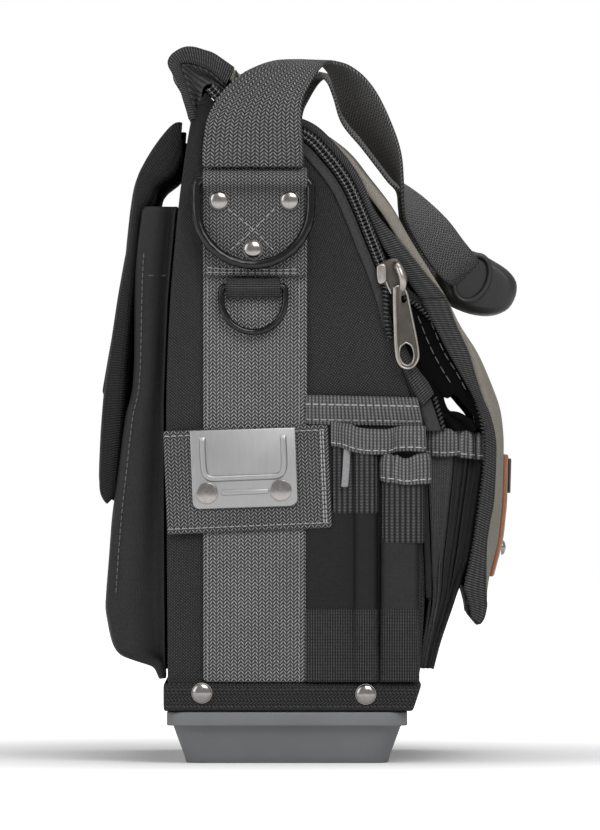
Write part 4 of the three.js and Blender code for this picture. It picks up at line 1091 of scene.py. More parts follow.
levels = [45, 58.8, 77.8, 96.9, 110, 125, 144.5, 158.5]
body_front = [(-58.3, 24.8), (-62.8, 38.6), (-69.5, 77.8), (-68.5, 110), (-66.2, 158.5)]
depths = [
    [2.1, 2.8, 4.2, 6.4, 8.3, 10.6, 13.4, 14.2], [4.1, 5.2, 7.6, 11.8, 14.2, 17, 20.4, 21.4],
    [6.1, 7.6, 11.3, 18.7, 21.2, 24.2, 27.8, 28.6],
]
names = ["inner", "middle", "outer"]
for number in range(3):
    fronts = [at_height(body_front, z) - depths[number][i] for i, z in enumerate(levels)]
    backs = [at_height(body_front, z) - (depths[number - 1][i] if number else 0) - 0.4
             for i, z in enumerate(levels)]
    half_width = 121 - 1.5 * number
    profile = smooth_line([(f, b, z) for f, b, z in zip(fronts, backs, levels)], 46)
    pocket_rows = []
    for f, b, z in profile:
        open_share = (z - 45) / 113.5
        deep = b - f
        fold = (0.7 if number == 0 else 1.0 + 2.6 * open_share)
        corner = min(2.2, deep * 0.45)
        wave = 0.7 * noise.noise(Vector((number, z / 14, 0.3)))
        gusset = [
            (half_width - 0.3, b), (half_width - fold * 0.75, b - deep * 0.25),
            (half_width - fold * 0.95 + wave, b - deep * 0.48), (half_width - fold * 0.3, b - deep * 0.72),
            (half_width, f + corner), (half_width - corner * 0.3, f + corner * 0.3), (half_width - corner, f),
        ]
        near = [mm(-x, y, z) for x, y in gusset]
        across_face = []
        for c in range(1, 24):
            x = (c / 12 - 1) * (half_width - corner)
            sag = (1 - (x / half_width) ** 2) * 1.2 + 0.9 * noise.noise(Vector((x / 30, z / 26, number)))
            across_face.append(mm(x, f + min(sag, 0.6 * deep), z))
        far = [mm(x, y, z) for x, y in reversed(gusset)]
        pocket_rows.append(near + across_face + far)
    pocket = sheet(f"front_pocket_cloth_{names[number]}", pocket_rows, 0.0012, side=-1)
    fit(pocket, "bag", lit_gusset_nylon if number == 0 else pocket_nylon, "cloth", f"front_pocket_{names[number]}")
    rim = pocket_rows[-1][5:-5]
    below = [p.lerp(q, 0.9) for p, q in zip(rim, pocket_rows[-6][5:-5])]
    pocket_hem = hem(f"front_pocket_hem_{names[number]}", rim, below)
    fit(pocket_hem, "bag", grey_hem, "grey_webbing")
    outer_corner = [row[4] for row in pocket_rows]
piping = rod("front_pocket_piping_near", outer_corner[:-6], 0.0013, sides=3)
both_sides(piping, "bag", ribbed_tape, "black_webbing")

wavy_hem("inner_pocket_side_hem_near", [
    (427.5, 430, 456, 120.4), (434, 429.5, 457, 122.4), (443, 430, 457.5, 122.9), (452, 430.5, 457, 122.6),
    (457.6, 429.4, 456.4, 121.4), (459.6, 429, 456, 118.6)])
wavy_hem("middle_pocket_side_hem_near", [
    (460.2, 430.6, 458, 117.8), (462, 431, 458.6, 120.8), (466, 431.8, 459, 121.4), (471, 433.4, 459.5, 121.2),
    (473.8, 434.5, 460, 117.6)])
wavy_hem("outer_pocket_side_hem_near", [
    (476, 434, 460, 116.8), (477.6, 434.2, 460.2, 119.4), (480.5, 434.4, 460.4, 120), (483.6, 435, 460.4, 119.4),
    (485.4, 436, 460, 116.6)])


# The side's webbing strap is sewn up the whole side, over the panel. A row of stitches runs near each
# of its edges, and the handle starts from it.
grey_webbing = webbing("grey_herringbone", 0.015, 0.52, rows=(2.4, 46.2), thread_colour=0.32)
plain_grey_webbing = webbing("grey_herringbone_handle", 0.01, 0.36)
strap_back, strap_front = 39.8, -10.5


def bar_rows(y0, y1, z0, z1, out, count=40, columns=13, crown=0.4):
    """Rows up a flat strap on the near side, slightly fuller in its middle."""
    rows = []
    for i in range(count):
        z = z0 + (z1 - z0) * i / (count - 1)
        row = []
        for c in range(columns):
            t = c / (columns - 1)
            row.append(mm(-out - crown * (4 * t * (1 - t)) ** 0.4, y0 + (y1 - y0) * t, z))
        rows.append(row)
    return rows


side_strap = sheet("side_webbing_near", bar_rows(strap_back, strap_front, 38.6, 284, 128.9, 80), 0.0017)
both_sides(side_strap, "bag", grey_webbing, "grey_webbing", "side_strap_near")

# The D-ring's webbing is folded round its bar and sewn down with a box of stitches. Three rivets go
# through it. The small ring below hangs in a narrower loop of black tape.
thread, shade = new_material("pale_thread")
twist = shade.cloud(0.0006, 2)
set_inputs(thread, shade, {
    "Base Color": twist.colour(0.3, 0.5), "Roughness": 0.7,
    "Normal": shade.bump(twist, 0.0001),
})


def sleeve_rows(back, plate, bore, bar_z, bottom, y0, y1, columns=13):
    """Rows over webbing that goes up from its foot, round a ring's bar, and down behind itself."""
    outer = bore + 1.6
    centre = back + outer
    path = [(back + plate, z) for z in (bottom, bottom + 4, (bottom + bar_z) / 2, bar_z - outer * 1.7)]
    for degrees in (-42, -15, 10, 40, 70, 100, 130, 160, 185):
        turn = math.radians(degrees)
        path.append((centre + outer * math.cos(turn), bar_z + outer * math.sin(turn)))
    line = smooth_line([Vector((out, z, 0)) for out, z in path], 40)
    rows = []
    for spot in line:
        rows.append([mm(-spot.x, y0 + (y1 - y0) * c / (columns - 1), spot.y) for c in range(columns)])
    return rows


patch_back = 129.6
ring_rows = sleeve_rows(patch_back, 2.8, 2.8, 277.7, 231.8, strap_back, strap_front)
ring_patch = sheet("d_ring_webbing_near", ring_rows, 0.0014)
both_sides(ring_patch, "bag", plain_grey_webbing, "grey_webbing", "d_ring_patch_near")
cross_out = 132.5
cross_stitches = sew("d_ring_cross_stitches_near", [
    on_side([(27.7, 264), (15.5, 254), (5.2, 243.5)], cross_out),
    on_side([(5.4, 264), (16, 253.5), (27.1, 243.6)], cross_out),
    on_side([(37.4, 236), (26, 235.2), (16, 235.6), (6, 234.9), (-5.6, 235.4)], cross_out),
    on_side([(37.4, 233.8), (16, 233.6), (-5.6, 233.4)], cross_out),
])
both_sides(cross_stitches, "bag", thread, "grey_webbing")
ring_rivets = rivets("d_ring_rivets_of_near_side", [(31.9, 268), (-1.9, 268), (15.7, 244.5)], 132.6, 4.7,
                     strip_inside(-8, 39, 239, 274, 124.4))
both_sides(ring_rivets, "bag", polished_steel, "steel", "d_ring_rivets_near")
small_loop = sheet("small_ring_tape_near", sleeve_rows(patch_back, 2.0, 2.05, 227.3, 223.9, 28.5, 2.5, 9), 0.0011)
both_sides(small_loop, "bag", ribbed_tape, "black_webbing", "small_ring_loop_near")

# Both rings are round steel wire with a glossy black coat.
black_wire = mottled(
    "gloss_black_wire", (0.004, 4), 0.002, 0.006, 0.07, 0.08, (0.0006, 2), 0.00002, **{"Specular IOR Level": 0.4})
for side in ("near", "far"):
    for ring in ("d_ring", "small_ring"):
        wire = cad_copy(f"{ring}_wire_{side}", f"{ring}_{side}", levels=2, merge_flats=False)
        fit(wire, f"{ring}_{side}", black_wire, "black_wire", f"{ring}_{side}")


# A wide piece of webbing lies across the strap on the near side, a little tilted. The steel clip for
# a tape measure is riveted through it. Its face is brushed and bare, with a pressed rib like a U.
clip_centre = Vector((18.3, 135.2))
clip_tilt = math.radians(2.4)


def tilted(along, up, centre=clip_centre):
    """A point of the tilted patch, from its distances along and up."""
    y = centre.x + along * math.cos(clip_tilt) + up * math.sin(clip_tilt)
    z = centre.y - along * math.sin(clip_tilt) + up * math.cos(clip_tilt)
    return y, z


clip_rows = []
for i in range(30):
    up = -24.7 + 49.4 * i / 29
    row = []
    for c in range(41):
        along = 39.3 - 78.6 * c / 40
        y, z = tilted(along, up)
        flutter = 0.5 * math.sin(along / 9) * (abs(along) / 39) ** 3
        row.append(mm(-131.0 - flutter - 0.3 * (1 - (up / 24.7) ** 2), y, z))
    clip_rows.append(row)
clip_patch = sheet("clip_webbing", clip_rows, 0.0015, side=-1)
fit(clip_patch, "bag", plain_grey_webbing, "grey_webbing", "clip_patch")
end_rows = []
for up in (-22.1, 22.1):
    end_rows.append(on_side([tilted(along, up) for along in (38.6, 13, -13, -38.6)], 131.4))
end_stitches = sew("clip_webbing_stitches", end_rows)
fit(end_stitches, "bag", thread, "grey_webbing")
side_stitches = sew("clip_webbing_end_stitches", [
    on_side([tilted(along, up) for up in (-22, -8, 8, 22)], 131.6) for along in (-35.6, -36.8)], 1.5, 0.7, 0.0004)
fit(side_stitches, "bag", thread, "grey_webbing")

brushed_steel, shade = new_material("brushed_steel")
spot = shade.node("ShaderNodeTexCoord", output=3)
stretched = shade.node("ShaderNodeMapping", {}, {0: spot, 3: (1, 260, 10)})
brush = shade.node("ShaderNodeTexNoise", {}, {"Vector": stretched, "Scale": 12, "Detail": 3})
smears = shade.cloud(0.012, 4)
set_inputs(brushed_steel, shade, {
    "Base Color": (brush * 0.6 + smears * 0.4).colour(0.30, 0.44), "Metallic": 1.0,
    "Roughness": 0.34 + brush * 0.1 + smears * 0.06,
    "Normal": shade.bump(brush, 0.00002),
})


def slab(name, outline, inner, outer, rounding, segments=3):
    """A flat plate of a near-side outline, between two distances out, with rounded edges."""
    bpy.ops.object.select_all(action="DESELECT")
    bpy.ops.mesh.primitive_circle_add(vertices=len(outline), radius=1, fill_type="NGON")
    piece = bpy.context.object
    piece.name = name
    for vertex, (y, z) in zip(piece.data.vertices, outline):
        vertex.co = mm(-inner, y, z)
    bpy.ops.object.mode_set(mode="EDIT")
    bpy.ops.mesh.select_all(action="SELECT")
    bpy.ops.mesh.extrude_region_move(TRANSFORM_OT_translate={"value": mm(inner - outer, 0, 0)})
    bpy.ops.mesh.select_all(action="SELECT")
    bpy.ops.mesh.normals_make_consistent(inside=False)
    bpy.ops.object.mode_set(mode="OBJECT")
    apply(piece, "BEVEL", width=rounding * 0.001, segments=segments, limit_method="ANGLE",
          angle_limit=math.radians(40))
    smooth_edges(piece, 45)
    return piece


clip_back, clip_face = 131.5, 132.7
clip_outline = [photo_mm(*spot) for spot in (
    (189.8, 430.7), (295.2, 427.3), (297.9, 499.4), (296.6, 502.6), (293.6, 505.1), (290, 506.2),
    (198.5, 509.2), (195.2, 507.6), (193.2, 505), (192.6, 501.6))]
clip_plate = slab("clip_plate", clip_outline, clip_back, clip_face, 0.5, 3)
channel = smooth_line([Vector((0, *photo_mm(*spot))) for spot in (
    (202.4, 437), (202.8, 452), (203.8, 468), (206, 475.2), (212, 478.6), (230, 478), (262, 476.7), (277, 475.9),
    (282.4, 472.4), (284.3, 464), (283.8, 450), (283.1, 434.5))], 80)
channel_section = [
    (-1.4, -0.3), (-1.2, 0), (-0.9, 0.5), (-0.65, 0.6), (0, 0.6), (0.65, 0.6), (0.9, 0.5), (1.2, 0), (1.4, -0.3),
]
channel_rows = []
for i, middle in enumerate(channel):
    ahead = (channel[min(i + 1, 79)] - channel[max(i - 1, 0)]).normalized()
    across = Vector((0, -ahead.z, ahead.y))
    rise = min(1, i / 2, (79 - i) / 2)
    channel_rows.append([(middle + across * side + Vector((-clip_face - lift * rise, 0, 0))) * 0.001
                         for side, lift in channel_section])
clip_channel = sheet("clip_channel", channel_rows, 0.0003, side=1)
bead_outline = [photo_mm(*spot) for spot in (
    (222.2, 489.6), (267.6, 488.6), (269.2, 490), (269.2, 492), (267.8, 493.6), (222.6, 495.6), (221.2, 494),
    (221, 491))]
clip_bead = slab("clip_bead", bead_outline, clip_face - 0.3, clip_face + 0.6, 0.5)
clip = join_pieces("tape_measure_clip", clip_plate, clip_channel, clip_bead)
fit(clip, "bag", brushed_steel, "steel", "tape_clip")


def flat_rivet(place, radius):
    """A flat disc with a rounded edge, its underside at a place on the near side."""
    seat, y, z = place * 1000
    ring = [(y + radius * 1000 * math.cos(i / 24 * math.pi), z + radius * 1000 * math.sin(i / 24 * math.pi))
            for i in range(48)]
    return slab("flat_rivet", ring, -seat, -seat + 0.9, 0.3)


clip_rivets = rivets("clip_rivets_of_near_side", [(37.5, 128.7), (2.4, 130.1)], clip_face, 5.1,
                     strip_inside(-4, 44, 123, 135, 124.4), flat_rivet)
fit(clip_rivets, "bag", polished_steel, "steel", "clip_rivets")


# In front of the strap is a flat pocket with a taped edge. Two tool loops stand out over its lower
# half. Each is nylon between bands of ribbed tape, and grey tape is folded over its top.
heavy_rib = ribbed("heavy_ribbed_tape", 0.002, 0.12, pitch=2.6, depth=0.0007, lengthwise=True)
fine_rib = ribbed("fine_ribbed_tape", 0.003, 0.09, pitch=1.2, lengthwise=True)
loop_nylon = woven("loop_black_nylon", 0.6, 0.004, 0.024, 0.00025, rough=0.6)
pocket_back_line = [(-9.3, 38.6), (-9.3, 110), (-9.3, 174.6)]
pocket_front_line = [(-61.4, 38.6), (-64.6, 78), (-64.8, 110), (-65.6, 158.5), (-62.9, 173.4)]
pocket_rows = ruled(on_side(pocket_back_line, 128.4), on_side(pocket_front_line, 128.4), 60, 24)
for row in pocket_rows:
    for c, point in enumerate(row):
        point.x -= 0.0014 * math.sin(math.pi * c / 23) * max(0, (point.z - 0.1) / 0.08)
side_pocket = sheet("side_pocket_cloth_near", pocket_rows, 0.0014, side=-1)
both_sides(side_pocket, "bag", nylon, "cloth", "side_pocket_near")
pocket_hem = hem("side_pocket_hem_near", pocket_rows[-1], pocket_rows[-7])
both_sides(pocket_hem, "bag", grey_hem, "grey_webbing")


loop_seat = 129.6


def loop_rows(shape, back_y, front_y, z0, z1, lift, count=30):
    """Rows up a tool loop, whose cross-section is a list of (share across, distance out)."""
    section = smooth_line([Vector((t * 8, out, 0)) for t, out in shape], 41)
    rows = []
    for i in range(count):
        z = z0 + (z1 - z0) * i / (count - 1)
        squeeze = min(1, 0.25 + (z - 38.6) / 36)
        row = []
        for spot in section:
            out = loop_seat + (spot.y * squeeze) + lift
            flutter = 0.25 * noise.noise(Vector((spot.x / 3, z / 12, lift)))
            row.append(mm(-out - flutter, back_y + (front_y - back_y) * spot.x / 8, z))
        rows.append(row)
    return rows


rear_shape = [
    (0, 0), (0.2, 0.6), (0.45, 1.0), (0.62, 1.2), (0.66, 1.4), (0.675, 3.6), (0.72, 5.2), (0.82, 5.8), (0.93, 5.0),
    (0.98, 3.0), (1, 0.3),
]
upper_shape = [
    (0, 0.4), (0.25, 1.0), (0.42, 1.5), (0.46, 1.8), (0.48, 3.8), (0.56, 5.3), (0.72, 5.9), (0.88, 5.2),
    (0.97, 3.2), (1, 0.3),
]
front_shape = [(0, 0.2), (0.04, 3.2), (0.16, 5.2), (0.5, 6.0), (0.84, 5.4), (0.96, 3.2), (1, 0.2)]
for name, shape, spread, thick, material, slot, *nodes in (
        ("rear_loop_cloth", rear_shape, (-9.4, -44, 38.8, 121, 0), 0.0012, loop_nylon, "cloth",
         "rear_tool_loop_near"),
        ("rear_loop_top_band", upper_shape, (-22.2, -44.2, 119, 151, 0.5), 0.0014, heavy_rib, "black_webbing"),
        ("rear_loop_bottom_band", rear_shape, (-9.4, -44.2, 38.8, 73.6, 0.7), 0.0012, fine_rib, "black_webbing"),
        ("front_loop_cloth", front_shape, (-44.7, -63.4, 70, 108, 0), 0.0012, pocket_nylon, "cloth",
         "front_tool_loop_near"),
        ("front_loop_top_band", front_shape, (-45, -66, 105, 134, 0.5), 0.0014, heavy_rib, "black_webbing"),
        ("front_loop_bottom_band", front_shape, (-44.6, -63.6, 38.8, 73.8, 0.5), 0.0012, fine_rib,
         "black_webbing")):
    both_sides(sheet(f"{name}_near", loop_rows(shape, *spread), thick), "bag", material, slot, *nodes)

wavy_hem("second_tier_hem_near", [
    (331, 423, 447, 130.6), (338, 424.2, 447.6, 130.9), (343, 424.7, 448.4, 132.6), (351, 426, 451.6, 134.6),
    (358, 429, 453.6, 135.6), (368, 430.5, 455, 136), (379, 431, 455, 135.6), (387.5, 431, 455, 134.6),
    (394, 429.2, 453.4, 133.2), (400, 427.8, 452, 134.8), (409, 427.5, 451.6, 136), (418, 427.5, 452, 136.2),
    (425, 427.5, 452.8, 135),
])
wavy_hem("front_loop_hem_near", [
    (382, 458, 480, 130.6), (383, 456, 481.6, 133.6), (387, 455.6, 483, 136), (391.6, 456.4, 483.6, 136.2),
    (393.8, 457.4, 483.8, 134.2), (396.4, 456.4, 484, 136.2), (399.6, 458.4, 484.6, 136.6),
    (404.6, 460.2, 485.4, 137), (410.6, 459, 485.6, 137),
    (417, 456, 485, 136.6), (426, 455, 484.5, 135.4), (429, 455.5, 484, 132.5),
])
tag_cloth = woven("plain_tag", 0.4, (0.2, 0.2, 0.21), (0.5, 0.5, 0.52), 0.0001)
tag_line = [photo_mm(x, y) for x, y in ((347.5, 447), (346.6, 458), (346, 470), (344.6, 487))]
tag_rows = []
for y, z in [(p.y * 1000, p.z * 1000) for p in smooth_line(on_side(tag_line, 0), 16)]:
    tag_rows.append([mm(-133.2 - 0.5 * math.sin(z / 3), y + across, z) for across in (1.7, 0.6, -0.6, -1.7)])
tag = sheet("small_side_tag", tag_rows, 0.0006)
fit(tag, "bag", tag_cloth, "grey_webbing")


# The back has a deep pocket of the same nylon, whose sides fold like a bellows. Its top edge is
# turned in and sewn.
pocket_outside = [
    (67.1, 264.4), (70, 236.8), (71.4, 183.5), (75.2, 164.5), (78.5, 139.2), (81.4, 115.9),
    (84.3, 79.7), (83.3, 67.8), (80, 54.5), (73.3, 50.7), (64.3, 47.8), (61.4, 45.9), (59, 40.2),
]
back_pocket_half = 118
pocket_rows = []
for point in smooth_line([Vector((y, z, 0)) for y, z in pocket_outside], 90):
    y, z = point.x, point.y
    seat = at_height(side_back_edge, z) + 0.4
    deep = max(y - seat, 0.6)
    fold = min(6.5, deep * 0.55)
    wave = 1.2 * noise.noise(Vector((z / 22, 0.7, 3)))
    gusset = [
        (back_pocket_half - 0.6, seat), (back_pocket_half - fold * 0.55, seat + deep * 0.08),
        (back_pocket_half - fold, seat + deep * 0.2), (back_pocket_half - fold * 0.35, seat + deep * 0.42),
        (back_pocket_half + wave * 0.4, seat + deep * 0.66), (back_pocket_half, seat + deep * 0.88),
        (back_pocket_half - min(1.4, deep * 0.1), y - deep * 0.02), (back_pocket_half - min(4, deep * 0.3), y),
    ]
    near = [mm(-x, across, z) for x, across in gusset]
    face = []
    for c in range(1, 28):
        x = (c / 14 - 1) * (back_pocket_half - 4)
        belly = 1.8 * noise.noise(Vector((x / 45, z / 38, 5))) * min(1, deep / 10)
        face.append(mm(x, y + belly, z))
    far = [mm(x, across, z) for x, across in reversed(gusset)]
    pocket_rows.append(near + face + far)
back_pocket = sheet("back_pocket_cloth", pocket_rows, 0.0016, side=1)
fit(back_pocket, "bag", pocket_nylon, "cloth", "back_pocket")
pocket_tape = hem("back_pocket_rim", pocket_rows[0], pocket_rows[5])
fit(pocket_tape, "bag", pocket_nylon, "cloth")
seam_line = [row[5] - mm(1.6, 0, 0) for row in pocket_rows[8:70]]
seam_row = pocket_rows[12]
across_line = [spot.lerp(seam_row[i + 1], 0.5) - mm(1.4, 0, 0) for i, spot in enumerate(seam_row[2:6])]
pocket_seams = sew("back_pocket_seams_near", [seam_line, across_line])
both_sides(pocket_seams, "bag", facing_thread, "cloth")


# The back flap is a padded panel that hangs from the top of the back over the pocket. It is swelled
# by a cloth simulation. Ribbed tape binds its sides, and webbing straps are sewn to its faces.
def swell(piece, pressure, cap):
    """Blows a closed form up a little, as its filling does, and lets no point go far."""
    before = [vertex.co.copy() for vertex in piece.data.vertices]
    only(piece)
    cloth_piece = piece.modifiers.new("Cloth", "CLOTH")
    cloth_piece.settings.use_pressure = True
    cloth_piece.settings.uniform_pressure_force = pressure
    cloth_piece.settings.effector_weights.gravity = 0
    scene = bpy.context.scene
    for step in range(1, 21):
        scene.frame_set(step)
    bpy.ops.object.modifier_apply(modifier=cloth_piece.name)
    scene.frame_set(1)
    for vertex, start in zip(piece.data.vertices, before):
        moved = vertex.co - start
        if moved.length > cap:
            vertex.co = start + moved.normalized() * cap


flap_outside = [
    (49.4, 304.2), (53.3, 303.6), (61.9, 293), (69, 280.6), (70.9, 273.5), (72.4, 263.5), (74.7, 243),
    (78.5, 221.1), (85.2, 175.4), (86.6, 157.3), (87.6, 135.4), (87.1, 128.3), (84.4, 124.2),
]
flap_inside = [
    (50, 298), (50.2, 290), (54.3, 281.4), (62.4, 275.6), (64.5, 269.5), (66.6, 266.2), (69.4, 262),
    (71.6, 243), (73.2, 230.2), (77, 193.5), (79.2, 161.1), (80.8, 142.6), (82, 126.6),
]
flap_nylon = woven("padded_black_nylon", 0.75, 0.003, 0.035, 0.0003, rough=0.6)
padding = cad_copy("back_flap_padding", "back_flap")
padding.data.transform(Matrix.Diagonal((0.982, 1, 1, 1)))
finer_than_its_thin_top = 0.0025
apply(padding, "REMESH", mode="VOXEL", voxel_size=finer_than_its_thin_top)
swell(padding, 4.0, 0.0022)
apply(padding, "SUBSURF", levels=1, render_levels=1)
edit(padding, chart_in_metres)
bpy.ops.object.shade_smooth()
fit(padding, "back_flap", flap_nylon, "cloth", "back_flap")
edge_rows = []
for a, b in zip(smooth_line(on_side(flap_outside, 110.6), 70), smooth_line(on_side(flap_inside, 110.6), 70)):
    wrap = Vector((0.006, 0, 0))
    out = (a - b).normalized() * 0.0011
    edge_rows.append([
        a + wrap + out, a + wrap * 0.3 + out, a + out * 0.4 - wrap * 0.06, a.lerp(b, 0.3) - wrap * 0.16,
        a.lerp(b, 0.7) - wrap * 0.16, b - out * 0.4 - wrap * 0.06, b + wrap * 0.3 - out, b + wrap - out,
    ])
flap_tape = sheet("back_flap_binding_near", edge_rows, 0.0012, side=0)
both_sides(flap_tape, "back_flap", dark_ribbed_tape, "black_webbing")
tab_path = [
    (79.4, 214.2), (81.4, 214.8), (83.6, 206), (88.2, 180), (88.6, 176.6), (87.6, 175.4), (86.4, 176.8),
    (85.9, 180), (84.3, 190), (81.6, 206), (79.8, 213),
]
tab_rows = across_bag(on_side(tab_path, 0), 0.014, 9, 50)
tab = sheet("back_flap_pull_tab", tab_rows, 0.0012, side=0)
cut_size(tab_rows)
fit(tab, "back_flap", ribbed_tape, "black_webbing", "back_flap_tab")
closing_path = [(71.6, 229), (73.6, 212), (75.2, 196.5), (76.6, 182), (77.2, 174), (76.6, 171.2), (75, 171.4),
                (74.4, 176), (73.6, 190), (72.4, 205), (71, 222)]
closing_rows = across_bag(on_side(closing_path, 0), 0.019, 9, 60)
closing = sheet("closing_strap_webbing", closing_rows, 0.0010, side=0)
cut_size(closing_rows)
fit(closing, "back_flap", ribbed_tape, "black_webbing", "closing_strap")

# Each slider is cast: a body that guides both coils, with a rounded lobe on one side and a fat bail over its back.
# Its pull hangs from the bail. The pull's bare face lies in a rounded rim, with an oval hole near its foot. One
# nickel is split into two copies: lobe, bail and rim are the bright one, a painted highlight, and the body and the
# pull's face the dark one, a painted shade.
# The bright copy of the nickel: its lighter colour is a painted highlight on the slider's lobe and bail and on the
# pull's rim.
highlight_nickel = mottled(
    "highlight_nickel", (0.003, 4), (0.30, 0.28, 0.26), (0.46, 0.43, 0.40), 0.24, 0.12, (0.002, 2), 0.00002,
    Metallic=1.0)


def ring_of(count, *spots):
    """Evenly spaced points round a closed outline, in millimetres."""
    closed = [Vector((0, *photo_mm(x, y))) for x, y in (*spots, spots[0])]
    return [(p.y, p.z) for p in smooth_line(closed, count + 1)[:-1]]


slider_body = slab("slider_body_near", ring_of(
    30, (377.5, 265), (386, 260.5), (391, 258.6), (397, 259), (403, 266), (407.6, 277), (405.5, 288.5),
    (398, 294.5), (390.5, 293), (384, 285), (378.5, 284), (376.5, 275)), 128.5, 130.4, 0.5)
both_sides(slider_body, "zip_slider_near", nickel, "nickel", "zip_slider_near")
lobe = slab("slider_lobe", ring_of(
    20, (376.4, 266), (380, 264), (384.5, 263.6), (386.6, 268), (386.8, 276), (386.2, 281.5), (382, 284.2),
    (378.4, 283.8), (376.6, 275)), 130.0, 132.4, 0.9, 4)
leg = rod("slider_leg", smooth_line(from_photo(131, (386.2, 281), (388, 286.5), (391.4, 293.4)), 8), 0.0006)
bail = rod("slider_bail", smooth_line([mm(-out, *photo_mm(x, y)) for x, y, out in (
    (396, 264.6, 130.2), (396.8, 266, 132.6), (399.4, 270, 134.5), (402, 277, 135.2), (402.8, 284, 134.6),
    (402, 289.4, 132.8), (401, 291.6, 130.2))], 30), 0.0019, sides=5)
both_sides(join_pieces("slider_bail_near", lobe, leg, bail), "zip_slider_near", highlight_nickel, "nickel")

pull_outline = ring_of(
    60, (393.9, 288.4), (393.7, 300), (394.4, 325), (395.5, 349), (397.4, 360.5), (401.6, 366.6), (407.6, 368.6),
    (413.6, 366.2), (417.6, 360), (418.4, 352.6), (416.6, 340), (412.8, 321), (409.4, 305), (407.2, 294.4),
    (403.4, 288), (398, 285.8))
pull = slab("zip_pull_tab_near", pull_outline, 133.1, 134.2, 0.25, 2)
hole_outline = ring_of(
    28, (406.2, 342.4), (400.6, 346.4), (399.2, 354.5), (402, 362.6), (407.4, 365.6), (412.6, 362), (414, 354),
    (411.6, 346))
window_outline = ring_of(16, (401.2, 296), (405, 294.6), (407, 297.4), (406, 301.6), (403, 303.4), (401.4, 301))
for outline in (hole_outline, window_outline):
    cutter = slab("cutter", outline, 130, 138, 0.05, 1)
    apply(pull, "BOOLEAN", operation="DIFFERENCE", solver="EXACT", object=cutter)
    bpy.data.objects.remove(cutter)
smooth_edges(pull, 45)
both_sides(pull, "zip_pull_near", nickel, "nickel", "zip_pull_near")
rim_line = [mm(-134.2, y, z) for y, z in pull_outline]
rim = rod("pull_rim", rim_line, 0.0005, closed=True)
stem = rod("pull_stem", [mm(-134.0, y - 0.55, z) for y, z in pull_outline[:26]], 0.0009, sides=4)
eyelet = rod("pull_eyelet", [mm(-134.1, y, z) for y, z in hole_outline], 0.0004, closed=True)
both_sides(join_pieces("zip_pull_rim_near", rim, stem, eyelet), "zip_pull_near", highlight_nickel, "nickel")


# The handle is one length of the same webbing on each side. It rises from the side, folds over
# towards the middle, and twists down into the ends of the grip.
def loft(stations, count, columns=13):
    """Rows between pairs of edge points, in millimetres."""
    joined_pairs = smooth_line([(*a, *b) for a, b in stations], count)
    rows = []
    for pair in joined_pairs:
        a, b = mm(*pair[:3]), mm(*pair[3:])
        rows.append([a.lerp(b, c / (columns - 1)) for c in range(columns)])
    return rows


lower_stations = [
    ((-131.1, -8.8, 283.5), (-131.1, 39.8, 283.5)), ((-131.3, -8.8, 291.5), (-131.3, 39.8, 291.5)),
    ((-131.3, -7.8, 304.9), (-131.3, 38, 305.4)), ((-131.1, -8.3, 315.4), (-131.5, 34.3, 313.9)),
    ((-130.1, -11.4, 322.5), (-131.5, 28.8, 321.5)), ((-128.6, -15.4, 329.2), (-130.3, 19.8, 329.2)),
    ((-127.1, -18.4, 332.4), (-126.5, 8, 333.7)), ((-125.4, -20.4, 333.8), (-112.1, -5, 334.9)),
    ((-124.1, -22.4, 334.0), (-95.1, -16.5, 334.6)),
]
upper_stations = [
    ((-124.1, -22.2, 334.1), (-95.1, -16.3, 334.6)), ((-123.4, -30, 332), (-86.1, -20.5, 329.6)),
    ((-122.6, -37.6, 326.4), (-85.4, -23.4, 322)), ((-121.1, -44.6, 316.8), (-84.1, -27.4, 309.6)),
    ((-119.1, -51.6, 301), (-80.1, -37.1, 297.6)), ((-116.1, -54.9, 289.2), (-77.1, -44.9, 287.6)),
    ((-112.1, -55.6, 277.7), (-73.1, -52, 279.2)), ((-106.1, -55.9, 266.4), (-70.1, -59.6, 274.8)),
    ((-100.1, -57, 258.6), (-67.6, -67.2, 269.3)), ((-89.1, -61.8, 249.2), (-66.1, -77.6, 259.6)),
    ((-78.1, -68.2, 239.2), (-65.1, -85.6, 249.4)), ((-69.1, -75.6, 230.6), (-62, -91.5, 242.5)),
    ((-55, -83, 226.5), (-55, -95, 237.5)),
]
lower_rows, upper_rows = loft(lower_stations, 60), loft(upper_stations, 110)
lower_strap = sheet("handle_webbing_lower_near", lower_rows, 0.0019, side=0)
upper_strap = sheet("handle_webbing_upper_near", upper_rows, 0.0019, side=0)
lower_fold = (mm(0, 0, 284), mm(0, 0, 300))
upper_fold = (mm(0, -22, 334), mm(0, -40, 334))
for strap, rows, fold, bodies, node, carrier in (
        (lower_strap, lower_rows, lower_fold, ("bag", "handle_lower"), "handle_strap_lower_near",
         "side_webbing_near"),
        (upper_strap, upper_rows, upper_fold, ("handle_lower", "handle_upper"), "handle_strap_upper_near",
         "handle_webbing_lower_near")):
    far_node, far_carrier = node.replace("_near", "_far"), carrier.replace("_near", "_far")
    for piece, stands_for, held_by in ((strap, node, carrier), (mirror_image(strap), far_node, far_carrier)):
        over_hinge(piece, plain_grey_webbing, "grey_webbing", *fold, stands_for, bodies=bodies)
        cut_size(rows)

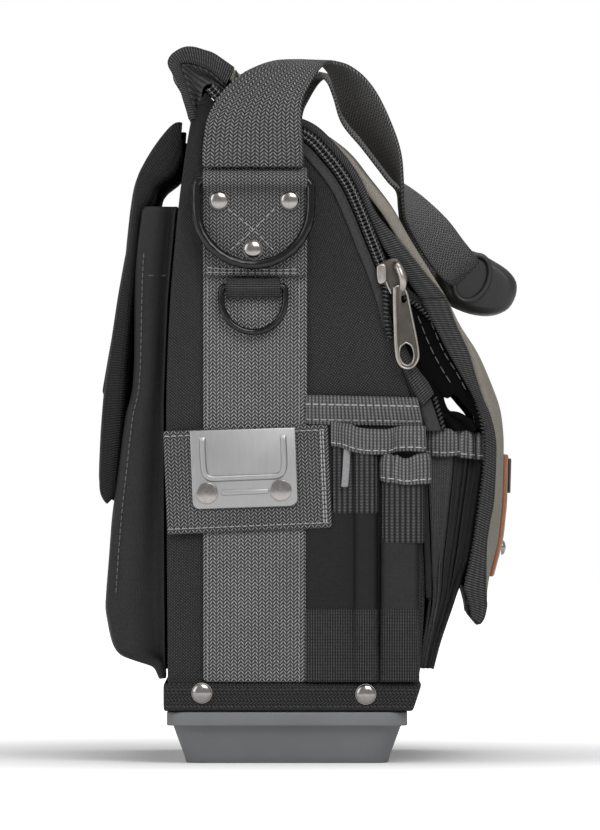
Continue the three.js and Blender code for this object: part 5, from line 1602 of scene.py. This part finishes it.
# The grip is one black rubber moulding round the ends of the webbing, oval in section. A raised
# ring surrounds each strap where it goes in, and a parting line runs round near each end.
rubber = mottled("black_rubber", (0.02, 4), 0.01, 0.022, 0.36, 0.2, (0.0009, 3), 0.00007)
grip_outline = [
    (-86.4, 245.9), (-92.8, 243.9), (-99.5, 240.4), (-106.4, 235.9), (-110.4, 231.1), (-111.2, 226.8),
    (-110.2, 222.1), (-107.4, 217.4), (-103.2, 215), (-96.6, 214.3), (-88.1, 215.9), (-79.5, 219.7),
    (-74.6, 224), (-71.8, 230), (-73, 237), (-78, 243.4), (-86.4, 245.9),
]
grip_centre = Vector((0, -0.0914, 0.2303))
ring_points = smooth_line(on_side(grip_outline, 60), 49)[:-1]
bpy.ops.object.select_all(action="DESELECT")
bpy.ops.mesh.primitive_circle_add(vertices=48, radius=1, fill_type="NGON")
grip = bpy.context.object
grip.name = "rubber_grip"
for vertex, point in zip(grip.data.vertices, ring_points):
    vertex.co = point
only(grip)
bpy.ops.object.mode_set(mode="EDIT")
bpy.ops.mesh.select_all(action="SELECT")
steps = [
    (0, 0.55), (0, 0.8), (0.0012, 0.9), (0.0018, 0.965), (0.003, 1.0), (0.0025, 1.0), (0.0006, 0.985),
    (0.0006, 1.0), (0.012, 1.0), (0.015, 0.985), (0.046, 0.985), (0.015, 1.0), (0.012, 1.0), (0.0006, 0.985),
    (0.0006, 1.0), (0.0025, 1.0), (0.003, 0.965), (0.0018, 0.9), (0.0012, 0.8), (0, 0.55),
]
place_now = -0.060
size_now = steps[0][1]
bpy.ops.transform.resize(value=(1, size_now, size_now), center_override=(place_now, grip_centre.y, grip_centre.z))
for step, size in steps[1:]:
    bpy.ops.mesh.extrude_region_move(TRANSFORM_OT_translate={"value": (step, 0, 0)})
    place_now += step
    bpy.ops.transform.resize(value=(1, size / size_now, size / size_now),
                             center_override=(place_now, grip_centre.y, grip_centre.z))
    size_now = size
bpy.ops.mesh.select_all(action="SELECT")
bpy.ops.mesh.normals_make_consistent(inside=False)
bpy.ops.object.mode_set(mode="OBJECT")
apply(grip, "BEVEL", width=0.0008, segments=2, limit_method="ANGLE", angle_limit=math.radians(30))
smooth_edges(grip, 45)
fit(grip, "handle_upper", rubber, "rubber", "handle_grip")
boss_line = []
for i in range(40):
    turn = i / 40 * 2 * math.pi
    boss_line.append(Vector((-0.0608, -0.0894 - 0.0085 * math.cos(turn) - 0.001 * math.sin(turn),
                             0.2318 + 0.0108 * math.sin(turn) + 0.002 * math.cos(turn))))
boss = rod("grip_boss_near", boss_line, 0.0014, closed=True, sides=3)
both_sides(boss, "handle_upper", rubber, "rubber")
